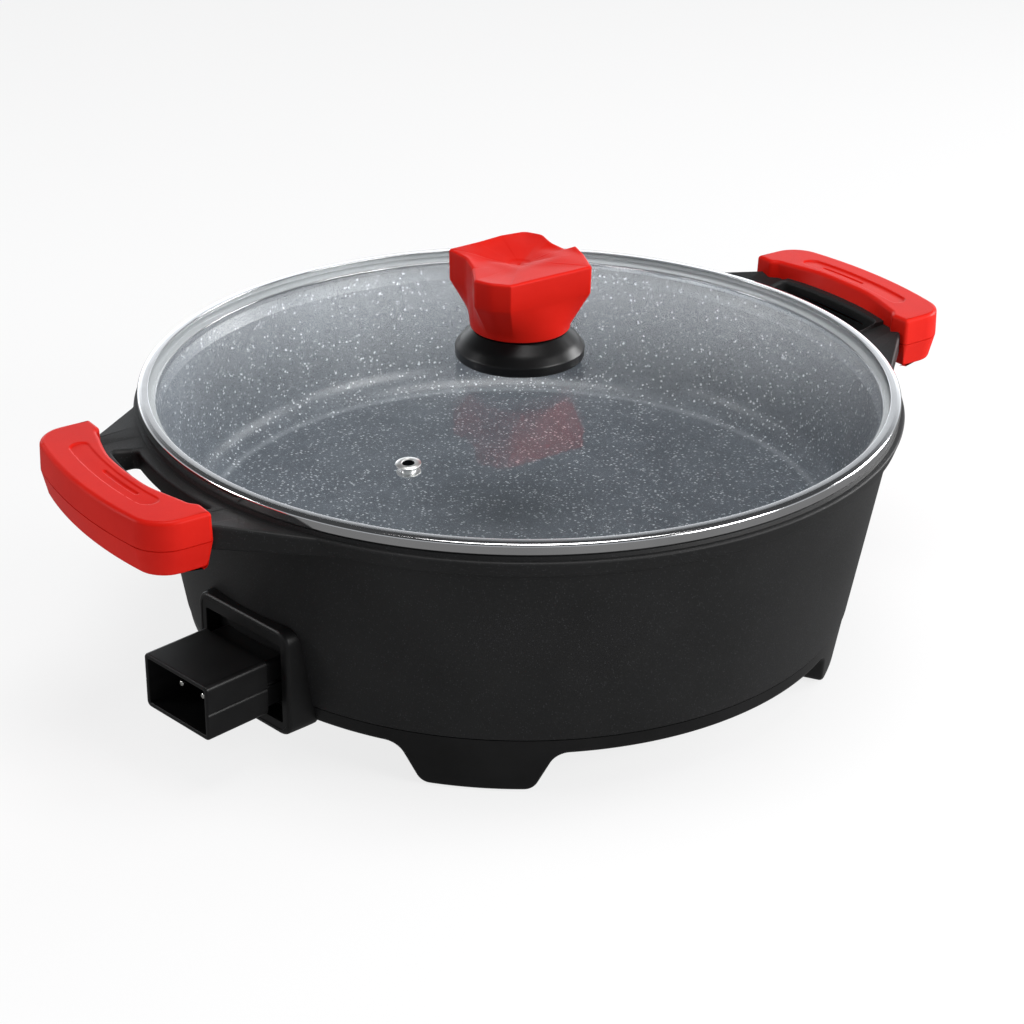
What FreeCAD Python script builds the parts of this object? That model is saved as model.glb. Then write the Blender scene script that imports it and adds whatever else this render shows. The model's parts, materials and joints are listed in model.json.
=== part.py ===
import FreeCAD, Part
import Sketcher
import math
import os

# Electric hot pot with a loose glass lid, in millimetres.
# The origin is on the table under the middle of the pot, +Z up, the two grips along X.

Vector = FreeCAD.Vector
Rotation = FreeCAD.Rotation

# Driving dimensions: alias, value, what it is
sizes = [
    # the cast pot, measured from its axis and from the table
    ("rimRadius", 174.5, "outer radius of the rim band at its top"),
    ("rimHeight", 120.0, "height of the rim shoulder"),
    ("rimBandHeight", 7.0, "height of the rim band"),
    ("rimBandTaper", 2.5, "radius that the band loses over its height"),
    ("rimBandStep", 2.8, "step from the foot of the band in to the wall"),
    ("rimChamfer", 0.8, "chamfer on the outer rim edge"),
    ("shoulderWidth", 3.0, "flat shoulder outside the lid seat"),
    ("seatRise", 1.7, "height of the lid seat above the shoulder"),
    ("seatWidth", 3.9, "width of the lid seat"),
    ("bevelWidth", 4.5, "width of the bevel inside the mouth"),
    ("bevelDepth", 8.2, "depth of the bevel inside the mouth"),
    ("wallLean", 19.2, "from the rim in to the wall's outside at the seam"),
    ("seamHeight", 27.8, "height of the seam between pot and base"),
    ("potThickness", 6.6, "thickness of the cooking wall"),
    ("skirtThickness", 5.5, "thickness of the wall below the floor"),
    ("floorGap", 0.7, "from the clamp plate up to the underside of the cooking floor"),
    ("floorThickness", 4.5, "thickness of the cooking floor"),
    ("floorFillet", 15.8, "inner radius between wall and floor"),
    # the cast lugs and the bar that each grip holds
    ("lugDrop", 8.5, "from the shoulder down to the underside of the lug"),
    ("lugLift", 3.3, "from the shoulder up to the top of the lug bar"),
    ("lugRiseReach", 15.5, "from the rim out to where the rising top turns flat"),
    ("lugRootInset", 6.5, "how far the lug runs into the pot wall"),
    ("lugRootReach", 24.5, "from the rim in to the root of the lug side"),
    ("lugRootHalf", 84.3, "half width of the lug at its root point"),
    ("lugNeckReach", 13.5, "from the rim out to where the lug enters the grip"),
    ("lugNeckHalf", 50.6, "half width of the lug there"),
    ("barShoulderReach", 28.5, "from the rim out to the bar shoulder"),
    ("barShoulderHalf", 44.0, "half width of the bar there"),
    ("barEndHalf", 36.0, "half width of the bar at its outer end"),
    ("barReach", 38.5, "from the rim out to the end of the bar"),
    ("gapStart", 4.5, "from the rim out to the finger gap"),
    ("gapWidth", 12.0, "width of the finger gap"),
    ("gapHalfLength", 34.0, "half length of the finger gap"),
    ("gapCorner", 5.0, "corner radius of the finger gap"),
    # the red grips
    ("gripPadReach", 12.5, "from the rim out to the grip's end pads"),
    ("gripArchReach", 20.0, "from the rim out to the inner arch of the grip"),
    ("gripCover", 7.5, "thickness of the grip outside the bar"),
    ("gripHalfLength", 55.3, "half length of the grip"),
    ("gripArchHalf", 44.0, "half length of the inner arch"),
    ("gripRoof", 7.3, "from the bar up to the top of the grip"),
    ("gripFloor", 5.8, "from the bar down to the underside of the grip"),
    ("gripSplitRise", 6.5, "from the underside of the bar to the fine line round the grip"),
    ("gripCorner", 12.0, "outer corner radius in plan"),
    ("gripEdge", 2.2, "rounding of the top and bottom edges"),
    ("gripSeamGap", 0.15, "gap between the two halves of a grip"),
    ("gripFit", 0.25, "clearance of the bar inside the grip"),
    ("gripScrewInset", 10.0, "from the end of the bar in to its screws"),
    ("gripScrewAngle", 8.0, "angle of each grip screw off the grip's middle"),
    ("gripScrewLength", 17.0, "length of a grip screw under its head"),
    ("gripHeadDepth", 4.4, "depth of the recess that holds the screw head"),
    # screws shared by grips, base and socket
    ("screwRadius", 2.0, "thread radius"),
    ("screwHeadRadius", 3.7, "head radius"),
    ("screwHeadHeight", 2.4, "head height"),
    ("screwSlotRadius", 1.25, "radius of the drive recess"),
    ("screwSlotDepth", 1.2, "depth of the drive recess"),
    ("screwFit", 0.05, "radial clearance of a thread in its hole"),
    ("screwSlack", 0.4, "radial clearance of a shank or head"),
    ("faceGap", 0.15, "gap left between seated faces"),
    ("cutPast", 1.0, "how far a cutting block reaches past the face that it cuts"),
    # the base frame with its four feet
    ("seamGap", 0.3, "gap at the seam"),
    ("seamInset", 0.5, "how far the base sits inside the pot wall"),
    ("baseDraft", 9.0, "lean of the base and the feet, degrees"),
    ("skirtHeight", 20.0, "height of the base skirt above the table"),
    ("baseWall", 4.0, "thickness of the base skirt"),
    ("webThickness", 3.0, "thickness of the inner web"),
    ("webReach", 29.3, "from the wall in to the web's inner edge"),
    ("lipHeight", 4.5, "height of the locating lip inside the pot"),
    ("lipThickness", 2.6, "thickness of the locating lip"),
    ("lipFit", 0.4, "clearance of the locating lip"),
    ("footAngle", 48.5, "angle of each foot off the grip axis"),
    ("footRootHalf", 34.3, "half width of a foot at the skirt"),
    ("footTipHalf", 24.8, "half width of a foot at its tip"),
    ("footDepth", 10.0, "radial depth of a foot"),
    ("footRootFillet", 9.0, "fillet where a foot meets the skirt"),
    ("footTipFillet", 6.0, "rounding of the foot tip"),
    ("padProud", 0.6, "how far a rubber pad stands out of its foot"),
    ("padThickness", 2.0, "thickness of a rubber pad"),
    ("padHalfLength", 15.0, "half length of a rubber pad"),
    ("padWidth", 5.0, "radial width of a rubber pad"),
    ("padFit", 0.15, "clearance of a pad in its pocket"),
    # the parts under the cooking floor
    ("bossRadius", 5.5, "radius of a screw boss"),
    ("bossInset", 19.3, "from the wall in to the screw bosses"),
    ("bossAngle", 30.0, "angle of the first boss off the socket"),
    ("baseScrewLength", 16.0, "length of a base screw under its head"),
    ("coverThickness", 1.2, "thickness of the bottom cover"),
    ("coverMargin", 3.5, "bottom cover outside its screws"),
    ("slotLength", 34.0, "length of a vent slot in the cover"),
    ("slotWidth", 4.0, "width of a vent slot"),
    ("slotInset", 26.0, "from the heating ring in to the vent slots"),
    ("elementInset", 55.3, "from the wall in to the heating ring"),
    ("tubeRadius", 3.8, "radius of the heater tube"),
    ("tubeBend", 12.0, "bend from the ring to its legs"),
    ("tubeFit", 0.15, "clearance of the tube in its groove"),
    ("ridgeWall", 4.0, "wall on each side of the groove"),
    ("ridgeDepth", 3.25, "how far the ridge reaches below the tube's middle"),
    ("ridgeNotchHalf", 22.0, "half width of the notch where the legs leave"),
    ("legInset", 15.0, "from the recess floor in to the tube's ends"),
    ("sealLength", 5.0, "length of a ceramic seal"),
    ("sealRadius", 3.3, "radius of a ceramic seal"),
    ("stemRadius", 7.0, "radius of the middle boss"),
    ("stemBottom", 35.5, "lower end of the middle boss"),
    ("shieldMargin", 18.0, "heat shield outside the heating ring"),
    ("shieldThickness", 0.8, "thickness of the heat shield"),
    ("shieldFlange", 5.0, "height of the turned-down shield edge"),
    ("shieldScrewLength", 9.0, "length of the heat shield's screw"),
    # the inlet socket, along its own outward axis
    ("socketAngle", 190.0, "direction of the socket seen from above"),
    ("socketHeight", 39.75, "height of the pins"),
    ("plateStand", 9.7, "how far the plate's face stands off the wall"),
    ("plateHalfWidth", 30.0, "half width of the plate"),
    ("plateAbove", 27.25, "from the pins up to the top of the plate"),
    ("plateBelow", 23.75, "from the pins down to the lower edge of the plate"),
    ("plateCorner", 7.0, "corner radius of the plate"),
    ("plateFit", 0.3, "gap between the plate and the wall"),
    ("plateDepth", 8.0, "how far the plate runs back beside the wall"),
    ("trayHalfWidth", 24.5, "half width of the recess"),
    ("trayAbove", 19.25, "from the pins up to the top of the recess"),
    ("trayBelow", 17.15, "from the pins down to the lower edge of the recess"),
    ("trayWall", 1.6, "wall round the recess"),
    ("trayDepth", 10.0, "depth of the recess"),
    ("trayFloorThickness", 2.6, "thickness of the recess floor"),
    ("windowFit", 0.4, "clearance round the tray in the wall"),
    ("neckHalfWidth", 19.3, "half width of the neck"),
    ("neckHalfHeight", 11.1, "half height of the neck"),
    ("neckReach", 4.0, "how far the neck stands out of the plate"),
    ("shroudLength", 32.0, "length of the shroud"),
    ("shroudHalfWidth", 21.1, "half width of the shroud"),
    ("shroudHalfHeight", 12.85, "half height of the shroud"),
    ("shroudWall", 2.2, "wall of the shroud and neck"),
    ("shroudEdge", 1.6, "rounding along the shroud"),
    ("shroudSeam", 0.1, "gap between the shroud's halves"),
    ("carrierInset", 0.6, "from the shroud's step to the carrier"),
    ("carrierThickness", 3.4, "thickness of the pin carrier"),
    ("carrierFit", 0.2, "clearance of the pin carrier"),
    ("pinRadius", 1.5, "radius of a contact pin"),
    ("pinStemRadius", 1.2, "radius of a pin's stem behind its carrier"),
    ("pinHalfSpacing", 7.25, "half the distance between the pins"),
    ("pinTail", 14.0, "how far a pin reaches behind the recess floor"),
    ("pinInset", 8.0, "from the shroud's open end in to the pin tips"),
    ("pinFit", 0.05, "radial clearance of a pin in what it passes"),
    ("clampReach", 7.55, "from the recess floor back to the clamp plate"),
    ("clampHalfWidth", 31.0, "half width of the clamp plate"),
    ("clampAbove", 12.05, "from the pins up to the top of the clamp plate"),
    ("clampBelow", 5.25, "from the pins down to the lower edge of the clamp plate"),
    ("clampThickness", 1.2, "thickness of the clamp plate"),
    ("clampHoleRadius", 4.6, "hole for a pin in the clamp plate"),
    ("socketScrewHalf", 20.0, "half the distance between the socket screws"),
    ("socketScrewRise", 8.0, "height of the socket screws above the pins"),
    ("socketScrewLength", 8.0, "length of a socket screw under its head"),
    ("socketBossRadius", 4.2, "radius of the bosses behind the tray"),
    # the lid
    ("lidGap", 0.3, "gap between the lid ring and its seat"),
    ("ringInset", 2.5, "from the rim in to the lid ring"),
    ("ringHeight", 4.9, "height of the lid ring's outer face"),
    ("ringSheet", 0.5, "thickness of the ring's sheet"),
    ("ringLipWidth", 4.8, "width of the rolled top of the ring"),
    ("ringFit", 0.45, "clearance of the locating lip inside the mouth"),
    ("ringLipDepth", 2.4, "depth of the locating lip"),
    ("ringFlangeWidth", 8.0, "width of the ring's lower flange"),
    ("bandGap", 0.05, "gap round the silicone band"),
    ("bandThickness", 0.6, "thickness of the silicone band"),
    ("glassThickness", 3.0, "thickness of the glass"),
    ("glassEdgeGap", 1.25, "from the ring's outer face in to the glass edge"),
    ("glassRise", 11.1, "rise of the glass from edge to crown"),
    ("glassHoleRadius", 4.0, "hole for the knob screw"),
    ("ventInset", 54.0, "from the lid ring in to the vent"),
    ("ventAngle", -148.0, "direction of the vent seen from above"),
    ("ventHoleRadius", 1.6, "bore of the vent eyelet"),
    ("ventTubeRadius", 3.1, "radius of the eyelet's tube"),
    ("ventFlangeRadius", 5.25, "radius of the eyelet's flange"),
    ("ventFlangeHeight", 0.9, "height of the eyelet's flange"),
    ("ventFit", 0.25, "clearance of the eyelet in the glass"),
    ("ventSlope", 0.8, "width of the sloped edges of the eyelet"),
    # the knob on the lid
    ("knobBaseRadius", 29.3, "radius of the black knob base"),
    ("knobRimHeight", 4.3, "height of the base's upright edge"),
    ("knobNeckRadius", 21.6, "radius at the top of the base's cone"),
    ("knobBaseHeight", 13.3, "height of the knob base"),
    ("knobPostRadius", 14.0, "radius of the post inside the cap"),
    ("postReach", 2.6, "how far the post reaches past the facets"),
    ("postFit", 0.2, "clearance of the post in the cap"),
    ("capGap", 0.4, "gap between the cap and the base"),
    ("capNeckRadius", 22.6, "radius at the foot of the cap"),
    ("capNeckHeight", 3.4, "height of the cap's upright neck"),
    ("capRise", 36.6, "from the lid seat and glass up to the end of the cap's facets"),
    ("capHeight", 16.6, "from the facets up to the level that the dish is cut down from"),
    ("capBackX", 21.2, "half width of the cap's back edge"),
    ("capBackY", 27.0, "distance of the back edge"),
    ("capWaistX", 20.6, "half width of the cap at its waist"),
    ("capWaistY", 13.0, "distance of the waist"),
    ("capCreaseX", 24.4, "half width at the crease"),
    ("capCreaseY", 2.0, "distance of the crease"),
    ("capWingX", 30.4, "half width of the cap at its wings"),
    ("capWingY", 4.5, "how far the wings lie to the front"),
    ("capFrontX", 21.9, "half width of the front edge"),
    ("capFrontY", 23.6, "distance of the front edge"),
    ("dishRadius", 120.0, "radius of the shallow dish in the cap"),
    ("dishDepth", 7.8, "depth of the dish"),
    ("dishShift", 5.0, "how far the dish lies to the front"),
    ("insertRadius", 4.4, "radius of the brass insert"),
    ("insertLength", 12.0, "length of the brass insert"),
    ("insertFit", 0.05, "radial clearance of the insert"),
    ("knobScrewRadius", 2.5, "radius of the knob screw"),
    ("knobScrewLength", 14.5, "length of the knob screw under its head"),
    ("knobScrewHeadRadius", 5.2, "head radius of the knob screw"),
    ("knobScrewHeadHeight", 3.2, "head height of the knob screw"),
    ("washerRadius", 8.5, "radius of the steel washer"),
    ("washerThickness", 1.0, "thickness of the steel washer"),
    ("padWasherRadius", 9.5, "radius of the silicone washer"),
    ("padWasherThickness", 1.2, "thickness of the silicone washer"),
]

# Radii and levels that follow from the sizes above: alias, formula, what it is
derivedSizes = [
    ("wallFootRadius", "rimRadius - wallLean", "outer radius of the wall at the seam"),
    ("lugBottom", "rimHeight - lugDrop", "underside of the lug"),
    ("lugTop", "rimHeight + lugLift", "top of the lug bar"),
    ("lugRiseRadius", "rimRadius + lugRiseReach", "radius where the rising top turns flat"),
    ("lugRootX", "rimRadius - lugRootReach", "plan point at the root of the lug side"),
    ("lugNeckX", "rimRadius + lugNeckReach", "plan point where the lug enters the grip"),
    ("barShoulderX", "rimRadius + barShoulderReach", "plan point of the bar shoulder"),
    ("barOuterRadius", "rimRadius + barReach", "outer radius of the bar"),
    ("gapInnerRadius", "rimRadius + gapStart", "inner radius of the finger gap"),
    ("gapOuterRadius", "gapInnerRadius + gapWidth", "outer radius of the finger gap"),
    ("gripPadX", "rimRadius + gripPadReach", "inner face of the grip's end pads"),
    ("gripArchRadius", "rimRadius + gripArchReach", "radius of the inner arch of the grip"),
    ("gripOuterRadius", "barOuterRadius + gripCover", "outer radius of the grip"),
    ("gripTop", "lugTop + gripRoof", "top of the grip"),
    ("gripBottom", "lugBottom - gripFloor", "underside of the grip"),
    ("gripSplit", "lugBottom + gripSplitRise", "height of the fine line round the grip"),
    ("gripScrewRadius", "barOuterRadius - gripScrewInset", "pitch radius of the grip screws"),
    ("webInnerRadius", "wallFootRadius - webReach", "inner radius of the web"),
    ("bossPitchRadius", "wallFootRadius - bossInset", "pitch radius of the screw bosses"),
    ("coverRadius", "bossPitchRadius + coverMargin", "radius of the bottom cover"),
    ("elementRadius", "wallFootRadius - elementInset", "radius of the heating ring"),
    ("slotPitchRadius", "elementRadius - slotInset", "pitch radius of the vent slots"),
    ("shieldRadius", "elementRadius + shieldMargin", "radius of the heat shield"),
    ("plateFront", "wallFootRadius + plateStand", "front face of the socket plate"),
    ("plateTop", "socketHeight + plateAbove", "top of the plate"),
    ("plateBottom", "socketHeight - plateBelow", "lower edge of the plate"),
    ("trayTop", "socketHeight + trayAbove", "top of the recess"),
    ("trayBottom", "socketHeight - trayBelow", "lower edge of the recess"),
    ("trayFloorFront", "plateFront - trayDepth", "front of the recess floor"),
    ("legEnd", "trayFloorFront - legInset", "distance of the tube's ends from the axis"),
    ("shroudBack", "plateFront + neckReach", "back step of the shroud"),
    ("shroudFront", "shroudBack + shroudLength", "open end of the shroud"),
    ("carrierBack", "shroudBack + carrierInset", "back of the pin carrier"),
    ("pinBack", "trayFloorFront - pinTail", "inner end of a pin"),
    ("pinTip", "shroudFront - pinInset", "outer end of a pin"),
    ("clampFront", "trayFloorFront - clampReach", "front face of the clamp plate"),
    ("clampTop", "socketHeight + clampAbove", "top of the clamp plate"),
    ("clampBottom", "socketHeight - clampBelow", "lower edge of the clamp plate"),
    ("floorHeight", "clampTop + floorGap + floorThickness", "height of the cooking surface"),
    ("ringRadius", "rimRadius - ringInset", "outer radius of the lid ring"),
    ("ventRadius", "ringRadius - ventInset", "distance of the vent from the middle"),
    ("capBandFoot", "rimHeight + seatRise + glassRise + capRise", "height where the cap's facets end"),
    ("knobPostTop", "capBandFoot + postReach", "top of the post"),
    ("capTop", "capBandFoot + capHeight", "level that the dish is cut down from"),
]

document = FreeCAD.newDocument("HotPot")
sheet = document.addObject("Spreadsheet::Sheet", "Sizes")
cells = [(alias, str(amount), note) for alias, amount, note in sizes]
cells += [(alias, "=" + formula, note) for alias, formula, note in derivedSizes]
for row, (alias, content, note) in enumerate(cells, start=1):
    sheet.set(f"A{row}", note)
    sheet.set(f"B{row}", content)
    sheet.setAlias(f"B{row}", alias)
document.recompute()

parts = []
# every cutting block reaches a little past the face that it cuts
past = "Sizes.cutPast"


def size(alias):
    # an expression's text for one cell of the sheet
    return f"Sizes.{alias}"


def amountOf(expression):
    # the number that an expression stands for
    result = sheet.evalExpression(str(expression))
    return float(getattr(result, "Value", result))


def bind(item, **expressions):
    # tie an object's sizes to the sheet; a double underscore stands for a dot
    for name, expression in expressions.items():
        item.setExpression(name.replace("__", "."), str(expression))


def place(item, angle="0", x="0", y="0", z="0", axis=(0, 0, 1)):
    item.Placement = FreeCAD.Placement(Vector(0, 0, 0), Rotation(Vector(*axis), 1.0))
    bind(item, Placement__Rotation__Angle=angle, Placement__Base__x=x,
         Placement__Base__y=y, Placement__Base__z=z)
    return item


def keep(item, label):
    # mark an object as a finished sub-part
    item.Label = label
    parts.append(item)
    return item


def newBody(name):
    return document.addObject("PartDesign::Body", name)


def originPlane(body, role):
    return next(f for f in body.Origin.OriginFeatures if f.Role == role)


def pinCorner(sketch, index, corner):
    # fix one corner of an outline by its two distances from the sketch's origin
    for kind, axis, expression in (("DistanceX", -2, corner[0]), ("DistanceY", -1, corner[1])):
        value = amountOf(expression)
        if str(expression) == "0":
            sketch.addConstraint(Sketcher.Constraint("PointOnObject", index, 1, axis))
            continue
        number = sketch.addConstraint(Sketcher.Constraint(kind, -1, 1, index, 1, value))
        sketch.setExpression(f"Constraints[{number}]", str(expression))


def outline(body, role, corners, offset="0"):
    # a closed outline of straight lines whose corners are bound to the sheet
    sketch = body.newObject("Sketcher::SketchObject", "Outline")
    sketch.AttachmentSupport = [(originPlane(body, role), "")]
    sketch.MapMode = "FlatFace"
    sketch.setExpression("AttachmentOffset.Base.z", str(offset))
    points = [Vector(amountOf(x), amountOf(y), 0) for x, y in corners]
    for start, end in zip(points, points[1:] + points[:1]):
        sketch.addGeometry(Part.LineSegment(start, end))
    count = len(points)
    for index in range(count):
        following = (index + 1) % count
        sketch.addConstraint(Sketcher.Constraint("Coincident", index, 2, following, 1))
    for index, corner in enumerate(corners):
        pinCorner(sketch, index, corner)
    return sketch


def revolved(name, corners):
    # a solid of revolution about the upright axis, from radius and height pairs
    body = newBody(name)
    sketch = outline(body, "XZ_Plane", corners)
    feature = body.newObject("PartDesign::Revolution", "Turned")
    feature.Profile = sketch
    feature.ReferenceAxis = (sketch, ["V_Axis"])
    feature.Angle = 360.0
    document.recompute()
    return body


def raised(name, corners, bottom, height):
    # a plan outline pulled up from a level
    body = newBody(name)
    sketch = outline(body, "XY_Plane", corners, bottom)
    feature = body.newObject("PartDesign::Pad", "Raised")
    feature.Profile = sketch
    bind(feature, Length=height)
    document.recompute()
    return body


def outward(name, corners, start, length):
    # an outline seen along +X, pulled outward from a distance
    body = newBody(name)
    sketch = outline(body, "YZ_Plane", corners, start)
    feature = body.newObject("PartDesign::Pad", "Outward")
    feature.Profile = sketch
    bind(feature, Length=length)
    document.recompute()
    return body


def rounded(body, radius, choose):
    # fillet the edges of a body that a test picks out
    document.recompute()
    base = body.Tip
    names = [f"Edge{i}" for i, edge in enumerate(base.Shape.Edges, start=1) if choose(edge)]
    feature = body.newObject("PartDesign::Fillet", "Rounding")
    feature.Base = (base, names)
    bind(feature, Radius=radius)
    document.recompute()
    return body


def box(name, x, y, z, length, width, height):
    # a block by its lowest corner and its sizes
    item = document.addObject("Part::Box", name)
    bind(item, Length=length, Width=width, Height=height)
    return place(item, x=x, y=y, z=z)


def rod(name, radius, height, x="0", y="0", z="0"):
    # an upright cylinder
    item = document.addObject("Part::Cylinder", name)
    bind(item, Radius=radius, Height=height)
    return place(item, x=x, y=y, z=z)


def rodOut(name, radius, start, end, y="0", z="0"):
    # a cylinder that lies along +X
    item = document.addObject("Part::Cylinder", name)
    bind(item, Radius=radius, Height=f"{end} - ({start})")
    return place(item, "90", start, y, z, (0, 1, 0))


def fused(name, items):
    item = document.addObject("Part::MultiFuse", name)
    item.Shapes = items
    return item


def cut(name, base, tool):
    item = document.addObject("Part::Cut", name)
    item.Base = base
    item.Tool = tool
    return item


def shared(name, items):
    item = document.addObject("Part::MultiCommon", name)
    item.Shapes = items
    return item


def turned(name, base, angle, x="0", y="0", z="0"):
    # a copy of an object, turned about the upright axis and moved
    item = document.addObject("Part::Compound", name)
    item.Links = [base]
    return place(item, angle, x, y, z)


def upright(edge):
    # true for an edge that runs straight up
    if edge.Curve.TypeId != "Part::GeomLine":
        return False
    return abs(edge.tangentAt(edge.FirstParameter).z) > 0.999


# Heights and radii that several sub-parts share
bandFoot = f"({size('rimHeight')} - {size('rimBandHeight')})"
bandFootRadius = f"({size('rimRadius')} - {size('rimBandTaper')})"
wallTopRadius = f"({bandFootRadius} - {size('rimBandStep')})"
wallSlope = (f"(({wallTopRadius} - {size('wallFootRadius')})"
             f" / ({bandFoot} - {size('seamHeight')}))")
seatHeight = f"({size('rimHeight')} + {size('seatRise')})"
seatOuter = f"({size('rimRadius')} - {size('shoulderWidth')})"
seatInner = f"({seatOuter} - {size('seatWidth')})"
bevelRadius = f"({seatInner} - {size('bevelWidth')})"
floorBottom = f"({size('floorHeight')} - {size('floorThickness')})"
ringBottom = f"({seatHeight} + {size('lidGap')})"
trayBack = f"({size('trayFloorFront')} - {size('trayFloorThickness')})"
windowBack = f"({trayBack} - {size('windowFit')})"
windowTop = f"({size('trayTop')} + {size('trayWall')} + {size('windowFit')})"
socketScrewLevel = f"({size('socketHeight')} + {size('socketScrewRise')})"
webBottom = f"({size('seamHeight')} - {size('seamGap')} - {size('webThickness')})"
coverBottom = f"({webBottom} - {size('faceGap')} - {size('coverThickness')})"


def wallRadius(level):
    # outer radius of the wall at a height
    return f"({size('wallFootRadius')} + (({level}) - {size('seamHeight')}) * {wallSlope})"


def baseRadius(level):
    # outer radius of the base skirt and the feet at a height
    top = f"({size('wallFootRadius')} - {size('seamInset')})"
    return f"({top} - ({size('seamHeight')} - ({level})) * tan({size('baseDraft')} * 1 deg))"


def screw(name, length, radius="screwRadius", head="screwHeadRadius", height="screwHeadHeight"):
    # a screw with its head below, its seat at height zero and its thread up
    slot = size("screwSlotDepth")
    return revolved(name, [
        ("0", length),
        (size(radius), length),
        (size(radius), "0"),
        (size(head), "0"),
        (size(head), f"-{size(height)}"),
        (size("screwSlotRadius"), f"-{size(height)}"),
        (size("screwSlotRadius"), f"{slot} - {size(height)}"),
        ("0", f"{slot} - {size(height)}"),
    ])


def potCasting():
    # the bowl: wall, rim band, lid seat, bevel, cooking floor and skirt in one casting
    seatChamfer = f"{size('seatRise')} * 0.3"
    inner = wallRadius(size("floorHeight"))
    body = revolved("Casting", [
        (size("wallFootRadius"), size("seamHeight")),
        (wallTopRadius, bandFoot),
        (bandFootRadius, bandFoot),
        (size("rimRadius"), f"{size('rimHeight')} - {size('rimChamfer')}"),
        (f"{size('rimRadius')} - {size('rimChamfer')}", size("rimHeight")),
        (seatOuter, size("rimHeight")),
        (f"{seatOuter} - {seatChamfer}", seatHeight),
        (seatInner, seatHeight),
        (bevelRadius, f"{seatHeight} - {size('bevelDepth')}"),
        (f"{inner} - {size('potThickness')}", size("floorHeight")),
        ("0", size("floorHeight")),
        ("0", floorBottom),
        (f"{wallRadius(floorBottom)} - {size('skirtThickness')}", floorBottom),
        (f"{size('wallFootRadius')} - {size('skirtThickness')}", size("seamHeight")),
    ])
    floorLevel = amountOf(size("floorHeight"))

    def floorCorner(edge):
        level = edge.BoundBox.ZMin
        return abs(level - floorLevel) < 0.01 and edge.BoundBox.ZLength < 0.01 and edge.Closed

    return rounded(body, size("floorFillet"), floorCorner)


def lugRing():
    # the turned section that both lugs are cut from
    inner = f"{bandFootRadius} - {size('lugRootInset')}"
    return revolved("LugRing", [
        (inner, size("lugBottom")),
        (size("barOuterRadius"), size("lugBottom")),
        (size("barOuterRadius"), size("lugTop")),
        (size("lugRiseRadius"), size("lugTop")),
        (size("rimRadius"), size("rimHeight")),
        (inner, size("rimHeight")),
    ])


def lugOutline():
    # plan of one lug with its two straight sides and the bar
    side = [
        (size("lugRootX"), size("lugRootHalf")),
        (size("lugNeckX"), size("lugNeckHalf")),
        (size("barShoulderX"), size("barShoulderHalf")),
        (f"{size('barOuterRadius')} + 5 * {past}", size("barEndHalf")),
    ]
    return [(x, f"-({y})") for x, y in side] + side[::-1]


def fingerGap():
    # the curved slot between the rim and the bar
    height = f"{size('lugTop')} - {size('lugBottom')} + 10 * {past}"
    bottom = f"{size('lugBottom')} - 5 * {past}"
    outer = rod("GapOuter", size("gapOuterRadius"), height, z=bottom)
    inner = rod("GapInner", size("gapInnerRadius"), height, z=bottom)
    ends = box("GapEnds", "0", f"-{size('gapHalfLength')}", bottom,
               f"{size('gapOuterRadius')} + 10 * {past}", f"2 * {size('gapHalfLength')}", height)
    slot = shared("GapSlot", [cut("GapRing", outer, inner), ends])
    document.recompute()
    radius = amountOf(size("gapCorner"))
    item = document.addObject("Part::Fillet", "GapRounded")
    item.Base = slot
    item.Edges = [(i, radius, radius) for i, e in enumerate(slot.Shape.Edges, start=1) if upright(e)]
    return item


def gripScrewSpots():
    # plan places of the two grip screws on the +X side
    pitch = size("gripScrewRadius")
    turn = f"({size('gripScrewAngle')} * 1 deg)"
    return [(f"{pitch} * cos({turn})", f"{sign}{pitch} * sin({turn})") for sign in ("", "-")]


def bossSpots():
    # directions of the four screw bosses
    return [f"{size('socketAngle')} + {size('bossAngle')} + {quarter}" for quarter in (0, 90, 180, 270)]


def socketWindow(name, back, high):
    # the opening in the wall for the socket's tray, out from a distance and up to a level
    half = f"({size('trayHalfWidth')} + {size('trayWall')} + {size('windowFit')})"
    low = f"({size('trayBottom')} - {size('trayWall')} - {size('windowFit')} - 10 * {past})"
    block = box(name + "Block", back, f"-{half}", low,
                f"{size('plateFront')} + 10 * {past} - ({back})", f"2 * {half}", f"{high} - {low}")
    return turned(name, block, size("socketAngle"))


def elementRidge():
    # the ring under the floor with the groove that holds the heater tube
    inner = f"({size('elementRadius')} - {size('tubeRadius')} - {size('tubeFit')})"
    outer = f"({size('elementRadius')} + {size('tubeRadius')} + {size('tubeFit')})"
    top = f"({size('socketHeight')} + {size('tubeRadius')} + {size('tubeFit')})"
    bottom = f"({size('socketHeight')} - {size('ridgeDepth')})"
    into = f"{floorBottom} + {size('floorThickness')} * 0.5"
    ring = revolved("Ridge", [
        (f"{inner} - {size('ridgeWall')}", into),
        (f"{inner} - {size('ridgeWall')}", bottom),
        (inner, bottom),
        (inner, top),
        (outer, top),
        (outer, bottom),
        (f"{outer} + {size('ridgeWall')}", bottom),
        (f"{outer} + {size('ridgeWall')}", into),
    ])
    half = size("ridgeNotchHalf")
    notch = box("RidgeNotchBlock", f"{inner} - {size('ridgeWall')} - 8 * {past}", f"-{half}",
                f"{bottom} - {past}",
                f"4 * {size('ridgeWall')} + 30 * {past}", f"2 * {half}",
                f"{floorBottom} - ({bottom}) + {past}")
    return cut("RidgeOpen", ring, turned("RidgeNotch", notch, size("socketAngle")))


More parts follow.
